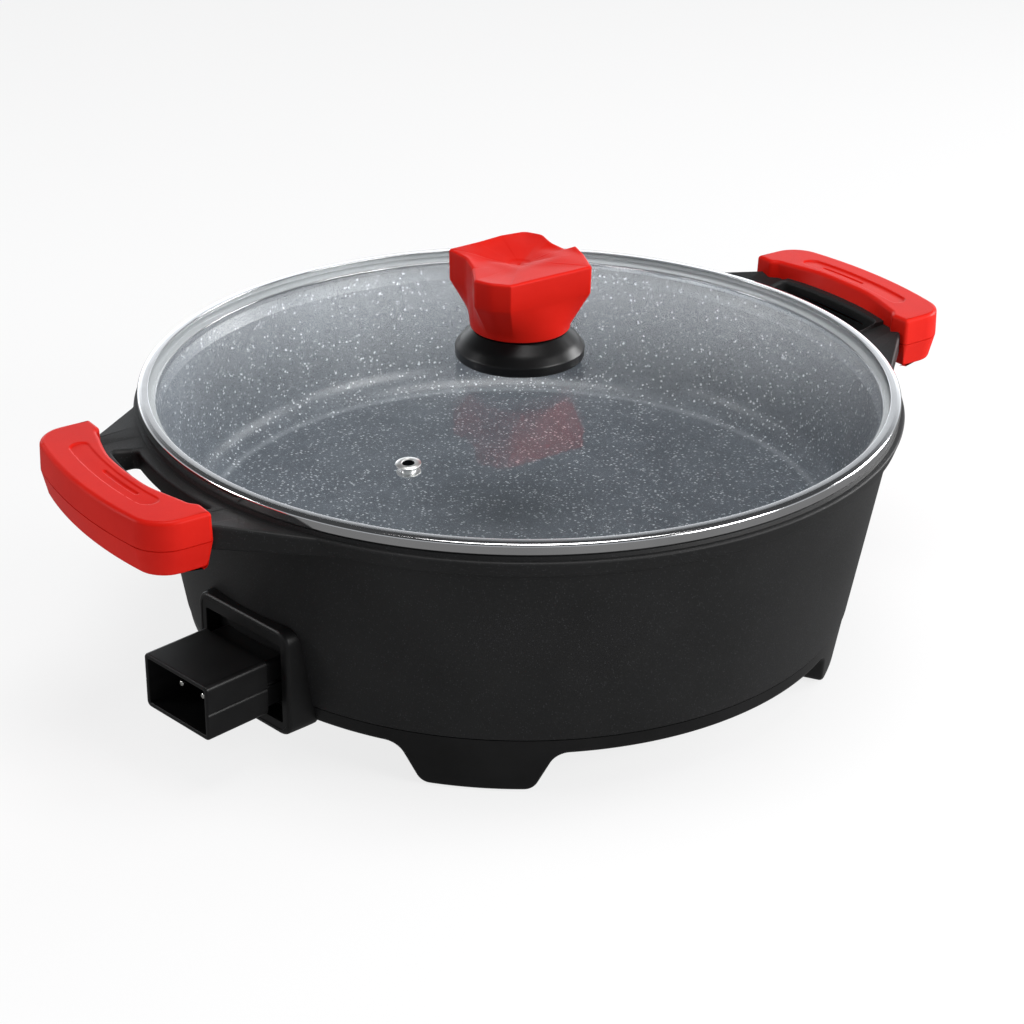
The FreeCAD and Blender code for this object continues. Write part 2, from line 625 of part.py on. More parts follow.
def buildPot():
    casting = potCasting()
    ring = lugRing()
    solids = [casting]
    cuts = []
    gap = fingerGap()
    barHeight = f"{size('lugTop')} - {size('lugBottom')} + 10 * {past}"
    for side, angle in (("Right", "0"), ("Left", "180")):
        plan = raised("LugPlan" + side, lugOutline(), f"{size('lugBottom')} - 5 * {past}", barHeight)
        place(plan, angle)
        solids.append(shared("Lug" + side, [ring, plan]))
        cuts.append(turned("Gap" + side, gap, angle))
        for x, y in gripScrewSpots():
            hole = rod("BarHole", f"{size('screwRadius')} + {size('screwSlack')}", barHeight,
                       x, y, f"{size('lugBottom')} - 5 * {past}")
            cuts.append(turned("BarHole" + side, hole, angle))
    into = f"{floorBottom} + {size('floorThickness')} * 0.5"
    for angle in bossSpots():
        boss = rod("Boss", size("bossRadius"), f"{into} - {size('seamHeight')}",
                   size("bossPitchRadius"), "0", size("seamHeight"))
        hole = rod("BossHole", f"{size('screwRadius')} + {size('screwFit')}",
                   size("baseScrewLength"), size("bossPitchRadius"), "0", f"{size('seamHeight')} - {past}")
        solids.append(turned("BossTurned", boss, angle))
        cuts.append(turned("BossHoleTurned", hole, angle))
    solids.append(rod("Stem", size("stemRadius"), f"{into} - {size('stemBottom')}",
                      z=size("stemBottom")))
    cuts.append(rod("StemHole", f"{size('screwRadius')} + {size('screwFit')}",
                    f"{size('shieldScrewLength')} + {past}", z=f"{size('stemBottom')} - {past}"))
    solids.append(elementRidge())
    cuts.append(socketWindow("WallWindow", windowBack, windowTop))
    skirtInside = f"({size('clampFront')} - {size('skirtThickness')})"
    cuts.append(socketWindow("SkirtWindow", skirtInside, floorBottom))
    whole = fused("PotSolid", solids)
    keep(cut("PotBody", whole, fused("PotCuts", cuts)), "pan_body")


def gripPlan(name, low, high):
    # the grip's outer form between two levels, rounded at its outer corners
    length = f"{size('gripOuterRadius')} - {size('gripPadX')} + 4 * {past}"
    half = size("gripHalfLength")
    height = f"({high}) - ({low})"
    block = box(name + "Block", size("gripPadX"), f"-{half}", low, length, f"2 * {half}", height)
    outer = rod(name + "Outer", size("gripOuterRadius"), height, z=low)
    arch = rod(name + "Arch", size("gripArchRadius"), height, z=low)
    span = box(name + "Span", f"{size('gripPadX')} - 10 * {past}", f"-{size('gripArchHalf')}", low,
               "40", f"2 * {size('gripArchHalf')}", height)
    form = cut(name + "Form", shared(name + "Sector", [block, outer]),
               shared(name + "Scoop", [arch, span]))
    document.recompute()
    radius = amountOf(size("gripCorner"))
    reach = amountOf(size("gripPadX")) + radius

    def outerCorner(edge):
        return upright(edge) and edge.BoundBox.XMin > reach

    item = document.addObject("Part::Fillet", name + "Rounded")
    item.Base = form
    item.Edges = [(i, radius, radius) for i, e in enumerate(form.Shape.Edges, start=1) if outerCorner(e)]
    return item


def softened(name, base, level):
    # round the edges that lie in one level face
    document.recompute()
    radius = amountOf(size("gripEdge"))
    height = amountOf(level)

    def inFace(edge):
        bounds = edge.BoundBox
        return bounds.ZLength < 0.01 and abs(bounds.ZMin - height) < 0.01

    item = document.addObject("Part::Fillet", name)
    item.Base = base
    item.Edges = [(i, radius, radius) for i, e in enumerate(base.Shape.Edges, start=1) if inFace(e)]
    return item


def barSpace(name):
    # the space that the bar takes inside a grip, with its clearance
    fit = size("gripFit")
    height = f"{size('lugTop')} - {size('lugBottom')} + 2 * {fit}"
    low = f"{size('lugBottom')} - {fit}"
    side = [
        (f"{size('lugNeckX')} - 20 * {past}", f"{size('lugNeckHalf')} + 2 * {fit}"),
        (size("lugNeckX"), f"{size('lugNeckHalf')} + 2 * {fit}"),
        (f"{size('barShoulderX')} + {fit}", f"{size('barShoulderHalf')} + 2 * {fit}"),
        (f"{size('barOuterRadius')} + 5 * {past}", f"{size('barEndHalf')} + 2 * {fit}"),
    ]
    plan = raised(name + "Plan", [(x, f"-({y})") for x, y in side] + side[::-1], low, height)
    ring = rod(name + "Ring", f"{size('barOuterRadius')} + {fit}", height, z=low)
    return shared(name, [plan, ring])


def buildGrips():
    # each grip is an upper and a lower half that close round the bar
    space = barSpace("BarSpace")
    middle = size("gripSplit")
    half = f"{size('gripSeamGap')} * 0.5"
    upper = softened("GripUpperSoft", gripPlan("GripUpper", f"({middle} + {half})", size("gripTop")),
                     size("gripTop"))
    lower = softened("GripLowerSoft", gripPlan("GripLower", size("gripBottom"), f"({middle} - {half})"),
                     size("gripBottom"))
    seat = f"({size('gripBottom')} + {size('gripHeadDepth')})"
    threads = []
    passages = []
    for x, y in gripScrewSpots():
        threads.append(rod("GripThread", f"{size('screwRadius')} + {size('screwFit')}",
                           f"{seat} + {size('gripScrewLength')} + {past} - {middle}", x, y, middle))
        passages.append(rod("GripPassage", f"{size('screwRadius')} + {size('screwSlack')}",
                            f"{middle} - {size('gripBottom')} + {past}", x, y,
                            f"{size('gripBottom')} - {past}"))
        passages.append(rod("GripHead", f"{size('screwHeadRadius')} + {size('screwSlack')}",
                            f"{size('gripHeadDepth')} + {past}", x, y, f"{size('gripBottom')} - {past}"))
    upperHalf = cut("GripUpperHalf", upper, fused("GripUpperCuts", [space] + threads))
    lowerHalf = cut("GripLowerHalf", lower, fused("GripLowerCuts", [space] + passages))
    for side, angle in (("right", "0"), ("left", "180")):
        keep(turned("GripUpperPlaced", upperHalf, angle), f"{side}_grip_upper")
        keep(turned("GripLowerPlaced", lowerHalf, angle), f"{side}_grip_lower")
        pair = []
        for x, y in gripScrewSpots():
            one = screw("GripScrew", size("gripScrewLength"))
            pair.append(place(one, "0", x, y, f"{seat} - {size('faceGap')}"))
        group = document.addObject("Part::Compound", "GripScrewPair")
        group.Links = pair
        keep(turned("GripScrewsPlaced", group, angle), f"{side}_grip_screws")


def footPrism(angle):
    # the outline of one foot with its flared root, pulled outward
    tip = size("padProud")
    wide = f"{size('footRootHalf')} + 3 * {size('footRootFillet')}"
    top = f"{size('seamHeight')} - {size('seamGap')} - {past}"
    corners = [
        (f"-({wide})", top),
        (f"-({wide})", size("skirtHeight")),
        (f"-{size('footRootHalf')}", size("skirtHeight")),
        (f"-{size('footTipHalf')}", tip),
        (size("footTipHalf"), tip),
        (size("footRootHalf"), size("skirtHeight")),
        (wide, size("skirtHeight")),
        (wide, top),
    ]
    inner = f"{size('wallFootRadius')} - 6 * {size('footDepth')}"
    body = outward("FootPrism", corners, inner, f"7 * {size('footDepth')}")
    rootLevel = amountOf(size("skirtHeight"))
    rootHalf = amountOf(size("footRootHalf"))
    tipLevel = amountOf(tip)

    def along(edge, level):
        start = edge.Vertexes[0].Point
        return edge.BoundBox.XLength > 1 and abs(start.z - level) < 0.01

    def rootEdge(edge):
        return along(edge, rootLevel) and abs(abs(edge.Vertexes[0].Y) - rootHalf) < 0.01

    def tipEdge(edge):
        return along(edge, tipLevel)

    rounded(body, size("footRootFillet"), rootEdge)
    rounded(body, size("footTipFillet"), tipEdge)
    return place(body, angle)


def footAngles():
    turn = size("footAngle")
    return [turn, f"180 - {turn}", f"180 + {turn}", f"-({turn})"]


def padPocket(name, grow, low, height):
    # one rubber pad's space under a foot, along +X
    middle = f"({baseRadius(size('padProud'))} - {size('footDepth')} * 0.5)"
    width = f"({size('padWidth')} + 2 * {grow})"
    half = f"({size('padHalfLength')} + {grow})"
    return box(name, f"{middle} - {width} * 0.5", f"-{half}", low, width, f"2 * {half}", height)


def buildBase():
    top = f"({size('seamHeight')} - {size('seamGap')})"
    tip = size("padProud")
    inset = f"({size('wallFootRadius')} - {size('skirtThickness')} - {size('lipFit')})"
    skirt = revolved("BaseSkirt", [
        (baseRadius(top), top),
        (baseRadius(size("skirtHeight")), size("skirtHeight")),
        (f"{baseRadius(size('skirtHeight'))} - {size('baseWall')}", size("skirtHeight")),
        (f"{baseRadius(webBottom)} - {size('baseWall')}", webBottom),
        (size("webInnerRadius"), webBottom),
        (size("webInnerRadius"), top),
        (f"{inset} - {size('lipThickness')}", top),
        (f"{inset} - {size('lipThickness')}", f"{top} + {size('lipHeight')}"),
        (inset, f"{top} + {size('lipHeight')}"),
        (inset, top),
    ])
    footRing = revolved("FootRing", [
        (baseRadius(f"{top} - 0.5 * {past}"), f"{top} - 0.5 * {past}"),
        (baseRadius(tip), tip),
        (f"{baseRadius(tip)} - {size('footDepth')}", tip),
        (f"{baseRadius(tip)} - {size('footDepth')}", f"{top} - 0.5 * {past}"),
    ])
    feet = [shared("Foot", [footRing, footPrism(angle)]) for angle in footAngles()]
    cuts = [socketWindow("BaseWindow", windowBack, windowTop)]
    depth = f"{size('padThickness')} - {size('padProud')} + {size('padFit')}"
    for angle in footAngles():
        cuts.append(turned("PadPocket", padPocket("PadSpace", size("padFit"), f"{tip} - {past}",
                                                  f"{depth} + {past}"),
                           angle))
    for angle in bossSpots():
        hole = rod("WebHole", f"{size('screwRadius')} + {size('screwSlack')}",
                   f"{size('webThickness')} + 2 * {past}", size("bossPitchRadius"), "0",
                   f"{webBottom} - {past}")
        cuts.append(turned("WebHoleTurned", hole, angle))
    keep(cut("BaseFrame", fused("BaseSolid", [skirt] + feet), fused("BaseCuts", cuts)), "base_frame")
    pads = [turned("Pad", padPocket("PadBlock", "0", "0", size("padThickness")), angle)
            for angle in footAngles()]
    group = document.addObject("Part::Compound", "FootPads")
    group.Links = pads
    keep(group, "foot_pads")


def buildBottomCover():
    disc = rod("CoverDisc", size("coverRadius"), size("coverThickness"), z=coverBottom)
    cuts = []
    for angle in bossSpots():
        hole = rod("CoverHole", f"{size('screwRadius')} + {size('screwSlack')}",
                   f"{size('coverThickness')} + 2 * {past}", size("bossPitchRadius"), "0",
                   f"{coverBottom} - {past}")
        cuts.append(turned("CoverHoleTurned", hole, angle))
    for step in range(12):
        slot = box("VentSlotBlock", f"{size('slotPitchRadius')} - {size('slotLength')} * 0.5",
                   f"-{size('slotWidth')} * 0.5", f"{coverBottom} - {past}",
                   size("slotLength"), size("slotWidth"), f"{size('coverThickness')} + 2 * {past}")
        cuts.append(turned("VentSlot", slot, str(step * 30)))
    keep(cut("BottomCover", disc, fused("CoverCuts", cuts)), "bottom_cover")
    screws = []
    for angle in bossSpots():
        one = screw("BaseScrew", size("baseScrewLength"))
        place(one, "0", size("bossPitchRadius"), "0", f"{coverBottom} - {size('faceGap')}")
        screws.append(turned("BaseScrewTurned", one, angle))
    group = document.addObject("Part::Compound", "BaseScrews")
    group.Links = screws
    keep(group, "base_screws")


def buildHeater():
    # the tube lies in one plane: a ring that is open at the socket and two straight legs
    radius = amountOf(size("elementRadius"))
    bend = amountOf(size("tubeBend"))
    offset = amountOf(size("pinHalfSpacing"))
    level = amountOf(size("socketHeight"))
    thickness = amountOf(size("tubeRadius"))
    end = amountOf(size("legEnd"))
    centreX = math.sqrt((radius + bend) ** 2 - (offset + bend) ** 2)
    opening = math.atan2(offset + bend, centreX)

    def at(x, y):
        return Vector(x, y, level)

    def bendArc(sign):
        # from the leg to the ring
        centre = Vector(centreX, sign * (offset + bend), 0)
        touch = Vector(radius * math.cos(opening), sign * radius * math.sin(opening), 0)
        first = Vector(centreX, sign * offset, 0) - centre
        last = touch - centre
        middle = centre + (first + last).normalize() * bend
        points = [at(centreX, sign * offset), at(middle.x, middle.y), at(touch.x, touch.y)]
        return Part.Arc(*points[::sign]).toShape()

    def ringPoint(angle):
        return at(radius * math.cos(angle), radius * math.sin(angle))

    quarter = (math.pi - opening) * 0.5
    path = Part.Wire([
        Part.LineSegment(at(end, offset), at(centreX, offset)).toShape(),
        bendArc(1),
        Part.Arc(ringPoint(opening), ringPoint(opening + quarter), ringPoint(math.pi)).toShape(),
        Part.Arc(ringPoint(math.pi), ringPoint(-opening - quarter), ringPoint(-opening)).toShape(),
        bendArc(-1),
        Part.LineSegment(at(centreX, -offset), at(end, -offset)).toShape(),
    ])
    section = Part.Wire([Part.Circle(at(end, offset), Vector(1, 0, 0), thickness).toShape()])
    item = document.addObject("Part::Feature", "HeatingElement")
    item.Shape = path.makePipeShell([section], True, False)
    keep(place(item, size("socketAngle")), "heating_element")
    rings = []
    for sign in ("", "-"):
        y = f"{sign}{size('pinHalfSpacing')}"
        start = f"({size('legEnd')} + {size('faceGap')})"
        outer = rodOut("SealOuter", size("sealRadius"), start, f"{start} + {size('sealLength')}",
                       y, size("socketHeight"))
        bore = rodOut("SealBore", f"{size('pinStemRadius')} + {size('pinFit')}", f"{start} - {past}",
                      f"{start} + {size('sealLength')} + {past}", y, size("socketHeight"))
        rings.append(cut("Seal", outer, bore))
    group = document.addObject("Part::Compound", "Seals")
    group.Links = rings
    keep(turned("ElementSeals", group, size("socketAngle")), "element_seals")


def buildHeatShield():
    top = f"({size('stemBottom')} - {size('faceGap')})"
    bottom = f"({top} - {size('shieldThickness')})"
    hole = f"{size('screwRadius')} + {size('screwSlack')}"
    edge = f"{size('shieldRadius')} - {size('shieldThickness')}"
    shield = revolved("HeatShield", [
        (hole, top),
        (size("shieldRadius"), top),
        (size("shieldRadius"), f"{top} - {size('shieldFlange')}"),
        (edge, f"{top} - {size('shieldFlange')}"),
        (edge, bottom),
        (hole, bottom),
    ])
    keep(shield, "heat_shield")
    fixing = screw("ShieldScrew", size("shieldScrewLength"))
    keep(place(fixing, "0", "0", "0", f"{bottom} - {size('faceGap')}"), "heat_shield_screw")


def socketPlateBlock(name, front):
    # the plate's outline with round corners, seen along the socket's axis
    half = size("plateHalfWidth")
    low = size("plateBottom")
    high = size("plateTop")
    back = f"({size('plateFront')} - {size('plateDepth')} - 4 * {past})"
    body = outward(name, [(f"-{half}", low), (half, low), (half, high), (f"-{half}", high)],
                   back, f"({front}) - {back}")

    def alongX(edge):
        return edge.Curve.TypeId == "Part::GeomLine" and abs(edge.tangentAt(edge.FirstParameter).x) > 0.999

    return rounded(body, size("plateCorner"), alongX)


def wallClearance(name):
    # everything inside the wall and the base, with the plate's clearance
    fit = size("plateFit")
    seam = size("seamHeight")
    return revolved(name, [
        ("0", "0"),
        (f"{baseRadius('0')} + {fit}", "0"),
        (f"{baseRadius(seam)} + {fit}", f"{seam} - {size('seamGap')}"),
        (f"{wallRadius(seam)} + {fit}", f"{seam} - {size('seamGap')}"),
        (f"{wallRadius(bandFoot)} + {fit}", bandFoot),
        ("0", bandFoot),
    ])


def trayBlock(name, back, front, shrink):
    # the recess, or the tray round it, along the socket's axis
    half = f"({size('trayHalfWidth')} + ({shrink}))"
    low = f"({size('trayBottom')} - ({shrink}))"
    high = f"({size('trayTop')} + ({shrink}))"
    return box(name, back, f"-{half}", low, f"({front}) - ({back})", f"2 * {half}", f"{high} - {low}")


def buildSocketPlate():
    plate = cut("PlateFitted", socketPlateBlock("PlateBlock", size("plateFront")),
                wallClearance("PlateClearance"))
    tray = trayBlock("TrayOuter", trayBack, f"{size('plateFront')} - {past}", size("trayWall"))
    solids = [plate, tray]
    cuts = [trayBlock("TrayInner", size("trayFloorFront"), f"{size('plateFront')} + {past}", "0")]
    bossBack = f"({size('clampFront')} + {size('faceGap')})"
    for sign in ("", "-"):
        y = f"{sign}{size('socketScrewHalf')}"
        solids.append(rodOut("SocketBoss", size("socketBossRadius"), bossBack, f"{trayBack} + {past}",
                             y, socketScrewLevel))
        cuts.append(rodOut("SocketThread", f"{size('screwRadius')} + {size('screwFit')}",
                           f"{bossBack} - {past}", f"{size('trayFloorFront')} - 0.7 * {past}", y,
                           socketScrewLevel))
        pinY = f"{sign}{size('pinHalfSpacing')}"
        cuts.append(rodOut("PinPassage", size("sealRadius"), f"{trayBack} - {past}",
                           f"{size('trayFloorFront')} + {past}", pinY, size("socketHeight")))
    whole = cut("SocketPlate", fused("SocketPlateSolid", solids), fused("SocketPlateCuts", cuts))
    keep(turned("SocketPlatePlaced", whole, size("socketAngle")), "socket_plate")


def buildClamp():
    # the steel plate inside the pot that holds the socket against the wall
    rise = socketScrewLevel
    front = size("clampFront")
    back = f"({front} - {size('clampThickness')})"
    half = size("clampHalfWidth")
    plate = box("ClampBlock", back, f"-{half}", size("clampBottom"), size("clampThickness"),
                f"2 * {half}", f"{size('clampTop')} - {size('clampBottom')}")
    cuts = []
    screws = []
    for sign in ("", "-"):
        y = f"{sign}{size('socketScrewHalf')}"
        cuts.append(rodOut("ClampScrewHole", f"{size('screwRadius')} + {size('screwSlack')}",
                           f"{back} - {past}", f"{front} + {past}", y, rise))
        cuts.append(rodOut("ClampPinHole", size("clampHoleRadius"), f"{back} - {past}", f"{front} + {past}",
                           f"{sign}{size('pinHalfSpacing')}", size("socketHeight")))
        one = screw("SocketScrew", size("socketScrewLength"))
        screws.append(place(one, "90", f"{back} - {size('faceGap')}", y, rise, (0, 1, 0)))
    whole = cut("ClampPlate", plate, fused("ClampCuts", cuts))
    keep(turned("ClampPlaced", whole, size("socketAngle")), "socket_clamp")
    group = document.addObject("Part::Compound", "SocketScrews")
    group.Links = screws
    keep(turned("SocketScrewsPlaced", group, size("socketAngle")), "socket_screws")


def sleeve(name, back, front, halfWidth, halfHeight, inset):
    # a rectangular tube round the pins; inset takes the wall off for its hollow
    width = f"({halfWidth} - ({inset}))"
    height = f"({halfHeight} - ({inset}))"
    middle = size("socketHeight")
    body = outward(name, [
        (f"-{width}", f"{middle} - {height}"),
        (width, f"{middle} - {height}"),
        (width, f"{middle} + {height}"),
        (f"-{width}", f"{middle} + {height}"),
    ], back, f"({front}) - ({back})")

    def alongX(edge):
        return edge.Curve.TypeId == "Part::GeomLine" and abs(edge.tangentAt(edge.FirstParameter).x) > 0.999

    if inset == "0":
        rounded(body, size("shroudEdge"), alongX)
    return body


def buildShroud():
    # the sleeve is moulded as an upper and a lower half
    back = f"({size('trayFloorFront')} + {size('faceGap')})"
    wall = size("shroudWall")
    outer = sleeve("ShroudOuter", size("shroudBack"), size("shroudFront"),
                   size("shroudHalfWidth"), size("shroudHalfHeight"), "0")
    hollow = sleeve("ShroudHollow", f"({size('shroudBack')} + 0.4 * {past})",
                    f"({size('shroudFront')} + {past})",
                    size("shroudHalfWidth"), size("shroudHalfHeight"), wall)
    neck = sleeve("Neck", back, f"({size('shroudBack')} + {past})",
                  size("neckHalfWidth"), size("neckHalfHeight"), "0")
    neckHollow = sleeve("NeckHollow", f"({back} - {past})", f"({size('shroudBack')} + 2 * {past})",
                        size("neckHalfWidth"), size("neckHalfHeight"), wall)
    whole = cut("ShroudWhole", fused("ShroudSolid", [outer, neck]),
                fused("ShroudHollows", [hollow, neckHollow]))
    reach = f"({size('shroudFront')} - {size('trayFloorFront')} + 4 * {past})"
    half = f"({size('shroudHalfWidth')} + 2 * {past})"
    height = f"({size('shroudHalfHeight')} + 2 * {past})"
    seam = f"{size('shroudSeam')} * 0.5"
    start = f"{size('trayFloorFront')} - 2 * {past}"
    above = box("ShroudAbove", start, f"-{half}", f"{size('socketHeight')} + {seam}", reach,
                f"2 * {half}", height)
    below = box("ShroudBelow", start, f"-{half}", f"{size('socketHeight')} - {seam} - {height}", reach,
                f"2 * {half}", height)
    for name, region in (("upper", above), ("lower", below)):
        part = shared("Shroud" + name, [whole, region])
        keep(turned("ShroudPlaced" + name, part, size("socketAngle")), f"shroud_{name}")


def buildPins():
    fit = size("carrierFit")
    wall = size("shroudWall")
    half = f"({size('shroudHalfWidth')} - {wall} - {fit})"
    height = f"({size('shroudHalfHeight')} - {wall} - {fit})"
    block = box("CarrierBlock", size("carrierBack"), f"-{half}", f"{size('socketHeight')} - {height}",
                size("carrierThickness"), f"2 * {half}", f"2 * {height}")
    bores = []
    pins = []
    for sign in ("", "-"):
        y = f"{sign}{size('pinHalfSpacing')}"
        bores.append(rodOut("CarrierBore", f"{size('pinStemRadius')} + {size('pinFit')}",
                            f"{size('carrierBack')} - {past}",
                            f"{size('carrierBack')} + {size('carrierThickness')} + {past}",
                            y, size("socketHeight")))
        length = f"({size('pinTip')} - {size('pinBack')})"
        stem = f"({size('carrierBack')} + {size('carrierThickness')} + {size('faceGap')} - {size('pinBack')})"
        pin = revolved("Pin", [
            ("0", "0"),
            (size("pinStemRadius"), "0"),
            (size("pinStemRadius"), stem),
            (size("pinRadius"), stem),
            (size("pinRadius"), f"{length} - {size('pinRadius')} * 0.6"),
            (f"{size('pinRadius')} * 0.5", length),
            ("0", length),
        ])
        pins.append(place(pin, "90", size("pinBack"), y, size("socketHeight"), (0, 1, 0)))
    carrier = cut("Carrier", block, fused("CarrierBores", bores))
    keep(turned("CarrierPlaced", carrier, size("socketAngle")), "pin_carrier")
    group = document.addObject("Part::Compound", "PinPair")
    group.Links = pins
    keep(turned("PinsPlaced", group, size("socketAngle")), "contact_pins")


# Levels of the lid, from the ring up
bandBottom = f"({ringBottom} + {size('ringSheet')} + {size('bandGap')})"
glassEdgeBottom = f"({bandBottom} + {size('bandThickness')} + {size('bandGap')})"
glassEdgeTop = f"({glassEdgeBottom} + {size('glassThickness')})"
glassRadius = f"({size('ringRadius')} - {size('glassEdgeGap')})"
crownTop = f"({glassEdgeTop} + {size('glassRise')})"
crownBottom = f"({crownTop} - {size('glassThickness')})"
domeRadius = (f"(({glassRadius} * {glassRadius} + {size('glassRise')} * {size('glassRise')})"
              f" / (2 * {size('glassRise')}))")


def glassSphere(name, top):
    # a ball whose highest point is at a level
    item = document.addObject("Part::Sphere", name)
    bind(item, Radius=domeRadius)
    return place(item, z=f"{top} - {domeRadius}")


def ventFrame(item):
    # stand an object on the glass at the vent, square to the dome
    reach = amountOf(size("ventRadius"))
    radius = amountOf(domeRadius)
    turn = math.radians(amountOf(size("ventAngle")))
    level = amountOf(crownTop) - radius + math.sqrt(radius * radius - reach * reach)
    spot = Vector(reach * math.cos(turn), reach * math.sin(turn), level)
    lean = math.degrees(math.asin(reach / radius))
    axis = Vector(-math.sin(turn), math.cos(turn), 0)
    item.Placement = FreeCAD.Placement(spot, Rotation(axis, lean))
    return item


def buildGlass():
    edge = rod("GlassEdge", glassRadius, f"{size('glassRise')} + {size('glassThickness')} + 4 * {past}",
               z=glassEdgeBottom)
    shell = cut("GlassShell", shared("GlassDome", [edge, glassSphere("GlassOver", crownTop)]),
                glassSphere("GlassUnder", crownBottom))
    knobHole = rod("KnobHole", size("glassHoleRadius"), f"{size('glassThickness')} + 6 * {past}",
                   z=f"{crownBottom} - 3 * {past}")
    ventHole = document.addObject("Part::Cylinder", "VentHole")
    bind(ventHole, Radius=f"{size('ventTubeRadius')} + {size('ventFit')}",
         Height=f"3 * {size('glassThickness')}")
    drop = FreeCAD.Placement(Vector(0, 0, -2 * amountOf(size("glassThickness"))), Rotation())
    ventHole.Placement = ventFrame(ventHole).Placement.multiply(drop)
    keep(cut("LidGlass", shell, fused("GlassHoles", [knobHole, ventHole])), "lid_glass")


def buildVent():
    deep = f"({size('glassThickness')} + 2 * {size('faceGap')})"
    flange = size("ventFlangeHeight")
    slope = size("ventSlope")
    eyelet = revolved("VentEyelet", [
        (size("ventHoleRadius"), f"{flange} + {size('faceGap')} - 0.4 * {slope}"),
        (f"{size('ventHoleRadius')} + {slope}", f"{flange} + {size('faceGap')}"),
        (f"{size('ventFlangeRadius')} - {slope}", f"{flange} + {size('faceGap')}"),
        (size("ventFlangeRadius"), f"{size('faceGap')} + 0.3 * {slope}"),
        (size("ventFlangeRadius"), size("faceGap")),
        (size("ventTubeRadius"), size("faceGap")),
        (size("ventTubeRadius"), f"{size('faceGap')} - {deep}"),
        (f"{size('ventFlangeRadius')} - {slope}", f"{size('faceGap')} - {deep}"),
        (f"{size('ventFlangeRadius')} - {slope}", f"{size('faceGap')} - {deep} - 0.75 * {slope}"),
        (size("ventHoleRadius"), f"{size('faceGap')} - {deep} - 0.75 * {slope}"),
    ])
    keep(ventFrame(eyelet), "vent_eyelet")


def buildRing():
    sheetSize = size("ringSheet")
    outer = size("ringRadius")
    top = f"({ringBottom} + {size('ringHeight')})"
    rise = f"({size('ringLipWidth')} * {glassRadius} / {domeRadius})"
    lip = f"({outer} - {size('ringLipWidth')})"
    locate = f"({seatInner} - {size('bevelWidth')} * {size('ringLipDepth')} / {size('bevelDepth')}"
    locate = f"{locate} - {size('ringFit')} - {past})"
    low = f"({seatHeight} - {size('ringLipDepth')} + {size('lidGap')})"
    ring = revolved("LidRing", [
        (outer, ringBottom),
        (outer, top),
        (lip, f"{top} + {rise}"),
        (lip, f"{top} + {rise} - {sheetSize}"),
        (f"{outer} - {sheetSize}", f"{top} - {sheetSize}"),
        (f"{outer} - {sheetSize}", f"{ringBottom} + {sheetSize}"),
        (f"{locate} - {sheetSize}", f"{ringBottom} + {sheetSize}"),
        (f"{locate} - {sheetSize}", low),
        (locate, low),
        (locate, ringBottom),
    ])
    keep(ring, "lid_ring")
    inner = f"({outer} - {size('ringFlangeWidth')})"
    band = revolved("LidBand", [
        (f"{outer} - {sheetSize} - {size('bandGap')}", bandBottom),
        (f"{outer} - {sheetSize} - {size('bandGap')}", f"{glassEdgeTop} - {size('bandThickness')}"),
        (f"{glassRadius} + {size('bandGap')}", f"{glassEdgeTop} - {size('bandThickness')}"),
        (f"{glassRadius} + {size('bandGap')}", f"{bandBottom} + {size('bandThickness')}"),
        (inner, f"{bandBottom} + {size('bandThickness')}"),
        (inner, bandBottom),
    ])
    keep(band, "lid_seal_band")


def capOutline():
    # plan of the cap: a straight back and front, a wing and a crease on each side
    right = [
        (size("capFrontX"), f"-{size('capFrontY')}"),
        (size("capWingX"), f"-{size('capWingY')}"),
        (size("capCreaseX"), size("capCreaseY")),
        (size("capWaistX"), size("capWaistY")),
        (size("capBackX"), size("capBackY")),
    ]
    return right + [(f"-{x}", y) for x, y in right[::-1]]


def neckOutline():
    # the cap's foot: a circle with one corner under each corner of the plan
    corners = []
    for x, y in capOutline():
        turn = f"(atan2({y}; {x}))"
        corners.append((f"{size('capNeckRadius')} * cos({turn})",
                        f"{size('capNeckRadius')} * sin({turn})"))
    return corners


